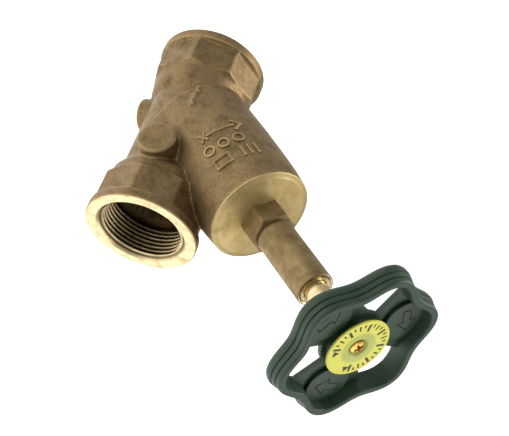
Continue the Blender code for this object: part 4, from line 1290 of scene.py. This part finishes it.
class VALVE_OT_bonnet(bpy.types.Operator):
    """Bonnet with flange, hexagon, stem tube and its bores"""
    bl_idname = "valve.bonnet"
    bl_label = "Bonnet"

    def execute(self, context):
        bonnet = make_bonnet()
        finish_piece(bonnet, "bonnet_turned", "valve_body", "bonnet", "brass_bonnet",
                     finish("flange"), finish("tube"), finish("brass"))
        mark_tube(bonnet, context.scene.valve_bonnet)
        return {"FINISHED"}


class VALVE_OT_stem(bpy.types.Operator):
    """Stem with its thread, collar and square"""
    bl_idname = "valve.stem"
    bl_label = "Stem"

    def execute(self, context):
        finish_piece(make_stem(), "stem_turned", "stem", "stem", "brass_turned", finish("brass"))
        return {"FINISHED"}


class VALVE_OT_handwheel(bpy.types.Operator):
    """Lobed handwheel with windows and arrow pads"""
    bl_idname = "valve.handwheel"
    bl_label = "Handwheel"

    def execute(self, context):
        finish_piece(make_handwheel(), "handwheel_moulded", "stem", "handwheel",
                     "green_plastic", finish("green"))
        return {"FINISHED"}


class VALVE_OT_label(bpy.types.Operator):
    """Cover disc, its printed scale and the cross-head screw"""
    bl_idname = "valve.label"
    bl_label = "Cover disc and screw"

    def execute(self, context):
        finish_piece(make_label(), "cover_disc", "stem", "label_disc", "yellow_plastic",
                     finish("label"))
        finish_piece(make_label_print(), "cover_disc_print", "stem", None, "yellow_plastic",
                     finish("ink"))
        finish_piece(make_screw(), "cover_screw", "stem", "handwheel_screw", "brass_turned",
                     finish("screw"))
        return {"FINISHED"}


class VALVE_OT_inner_parts(bpy.types.Operator):
    """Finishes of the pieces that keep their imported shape: plug, seat, seals, bushes and clips"""
    bl_idname = "valve.inner_parts"
    bl_label = "Inner parts"

    def execute(self, context):
        kinds = {"brass_turned": "brass", "stainless": "steel", "seal_rubber": "rubber",
                 "white_plastic": "ptfe", "gunmetal": "cast", "brass_bonnet": "flange",
                 "green_plastic": "green", "yellow_plastic": "label"}
        for part in frame["record"]["subparts"]:
            node = frame["nodes"][part["node"]]
            material = finish(kinds[part["material_slot"]])
            node.data.materials.clear()
            node.data.materials.append(material)
        return {"FINISHED"}


class VALVE_OT_stage(bpy.types.Operator):
    """Pale floor, soft lights and the camera"""
    bl_idname = "valve.stage"
    bl_label = "Stage"

    def execute(self, context):
        settings = context.scene.valve_stage
        eye = camera(settings)
        studio_lights(eye, settings)
        pale_surroundings(settings)
        return {"FINISHED"}


# ------------------------------------------------------------------ stage
def camera(settings):
    data = bpy.data.cameras.new("camera")
    data.lens = settings.lens
    data.sensor_width = 36
    data.clip_start = 0.01
    data.clip_end = 20
    eye = bpy.data.objects.new("camera", data)
    bpy.context.scene.collection.objects.link(eye)
    look = Matrix.Rotation(settings.azimuth, 4, "Z") @ Matrix.Rotation(
        math.pi / 2 - settings.elevation, 4, "X")
    spin = Matrix.Rotation(settings.roll, 4, "Z")
    back = Matrix.Translation((0, 0, settings.distance))
    eye.matrix_world = Matrix.Translation(settings.aim) @ look @ spin @ back
    bpy.context.scene.camera = eye
    return eye


def soft_light(name, eye, settings, place, size, power):
    """A large square light, placed across, up and towards the camera from the aim point."""
    data = bpy.data.lights.new(name, "AREA")
    data.shape = "SQUARE"
    data.size = size
    data.energy = power
    lamp = bpy.data.objects.new(name, data)
    bpy.context.scene.collection.objects.link(lamp)
    aim = Vector(settings.aim)
    spot = aim + eye.matrix_world.to_3x3() @ Vector(place)
    lamp.location = spot
    lamp.rotation_euler = (aim - spot).to_track_quat("-Z", "Y").to_euler()
    return lamp


def studio_lights(eye, settings):
    soft_light("key_light", eye, settings, (0.45, -0.8, 0.15), 0.9, 4.0)
    soft_light("side_light", eye, settings, (0.95, 0.15, -0.05), 0.6, 7)
    soft_light("front_light", eye, settings, (-0.5, 0.45, 0.75), 0.7, 3.2)


def pale_surroundings(settings):
    """A floor well under the valve, and an even white surround."""
    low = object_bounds()[0]
    deselect()
    bpy.ops.mesh.primitive_plane_add(size=8, location=(0, 0, low.z - settings.floor_drop))
    floor = bpy.context.object
    floor.name = "floor"
    material, shader = new_material("matt_white_floor")
    where = place_pattern(material)
    tone = ramp(material, speckle(material, where, 400, 2.0), (0.3, "#FAFAFA"), (0.7, "#FFFFFF"))
    connect(material, shader, Base_Color=tone)
    shader.inputs["Roughness"].default_value = 0.9
    shader.inputs["Emission Color"].default_value = (1, 1, 1, 1)
    shader.inputs["Emission Strength"].default_value = 0.55
    floor.data.materials.append(material)
    floor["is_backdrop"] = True
    world = bpy.data.worlds.new("surround")
    bpy.context.scene.world = world
    world.use_nodes = True
    tree = world.node_tree
    background = tree.nodes["Background"]
    seen = tree.nodes.new("ShaderNodeLightPath").outputs["Is Camera Ray"]
    level = tree.nodes.new("ShaderNodeMapRange")
    level.inputs["To Min"].default_value = settings.ambient
    level.inputs["To Max"].default_value = 1.0
    tree.links.new(seen, level.inputs["Value"])
    tree.links.new(level.outputs["Result"], background.inputs["Strength"])
    background.inputs["Color"].default_value = (1, 1, 1, 1)
    bpy.context.scene.view_settings.view_transform = "Standard"


# ------------------------------------------------------------------ panel and run
class VALVE_PT_pieces(bpy.types.Panel):
    """Lists the steps that build the valve's looks"""
    bl_idname = "VALVE_PT_pieces"
    bl_label = "Globe valve"
    bl_space_type = "VIEW_3D"
    bl_region_type = "UI"
    bl_category = "Valve"

    def draw(self, context):
        for operator in OPERATORS:
            self.layout.operator(operator.bl_idname)


OPERATORS = (VALVE_OT_inner_parts, VALVE_OT_casting, VALVE_OT_bonnet, VALVE_OT_stem,
             VALVE_OT_handwheel, VALVE_OT_label, VALVE_OT_stage)


def register():
    for group in GROUPS.values():
        bpy.utils.register_class(group)
    for name, group in GROUPS.items():
        setattr(bpy.types.Scene, name, PointerProperty(type=group))
    for operator in OPERATORS:
        bpy.utils.register_class(operator)
    bpy.utils.register_class(VALVE_PT_pieces)


def unregister():
    bpy.utils.unregister_class(VALVE_PT_pieces)
    for operator in reversed(OPERATORS):
        bpy.utils.unregister_class(operator)
    for name, group in GROUPS.items():
        delattr(bpy.types.Scene, name)
        bpy.utils.unregister_class(group)


def main():
    register()
    bpy.ops.valve.inner_parts()
    bpy.ops.valve.casting()
    bpy.ops.valve.bonnet()
    bpy.ops.valve.stem()
    bpy.ops.valve.handwheel()
    bpy.ops.valve.label()
    bpy.ops.valve.stage()


if __name__ == "__main__":
    main()
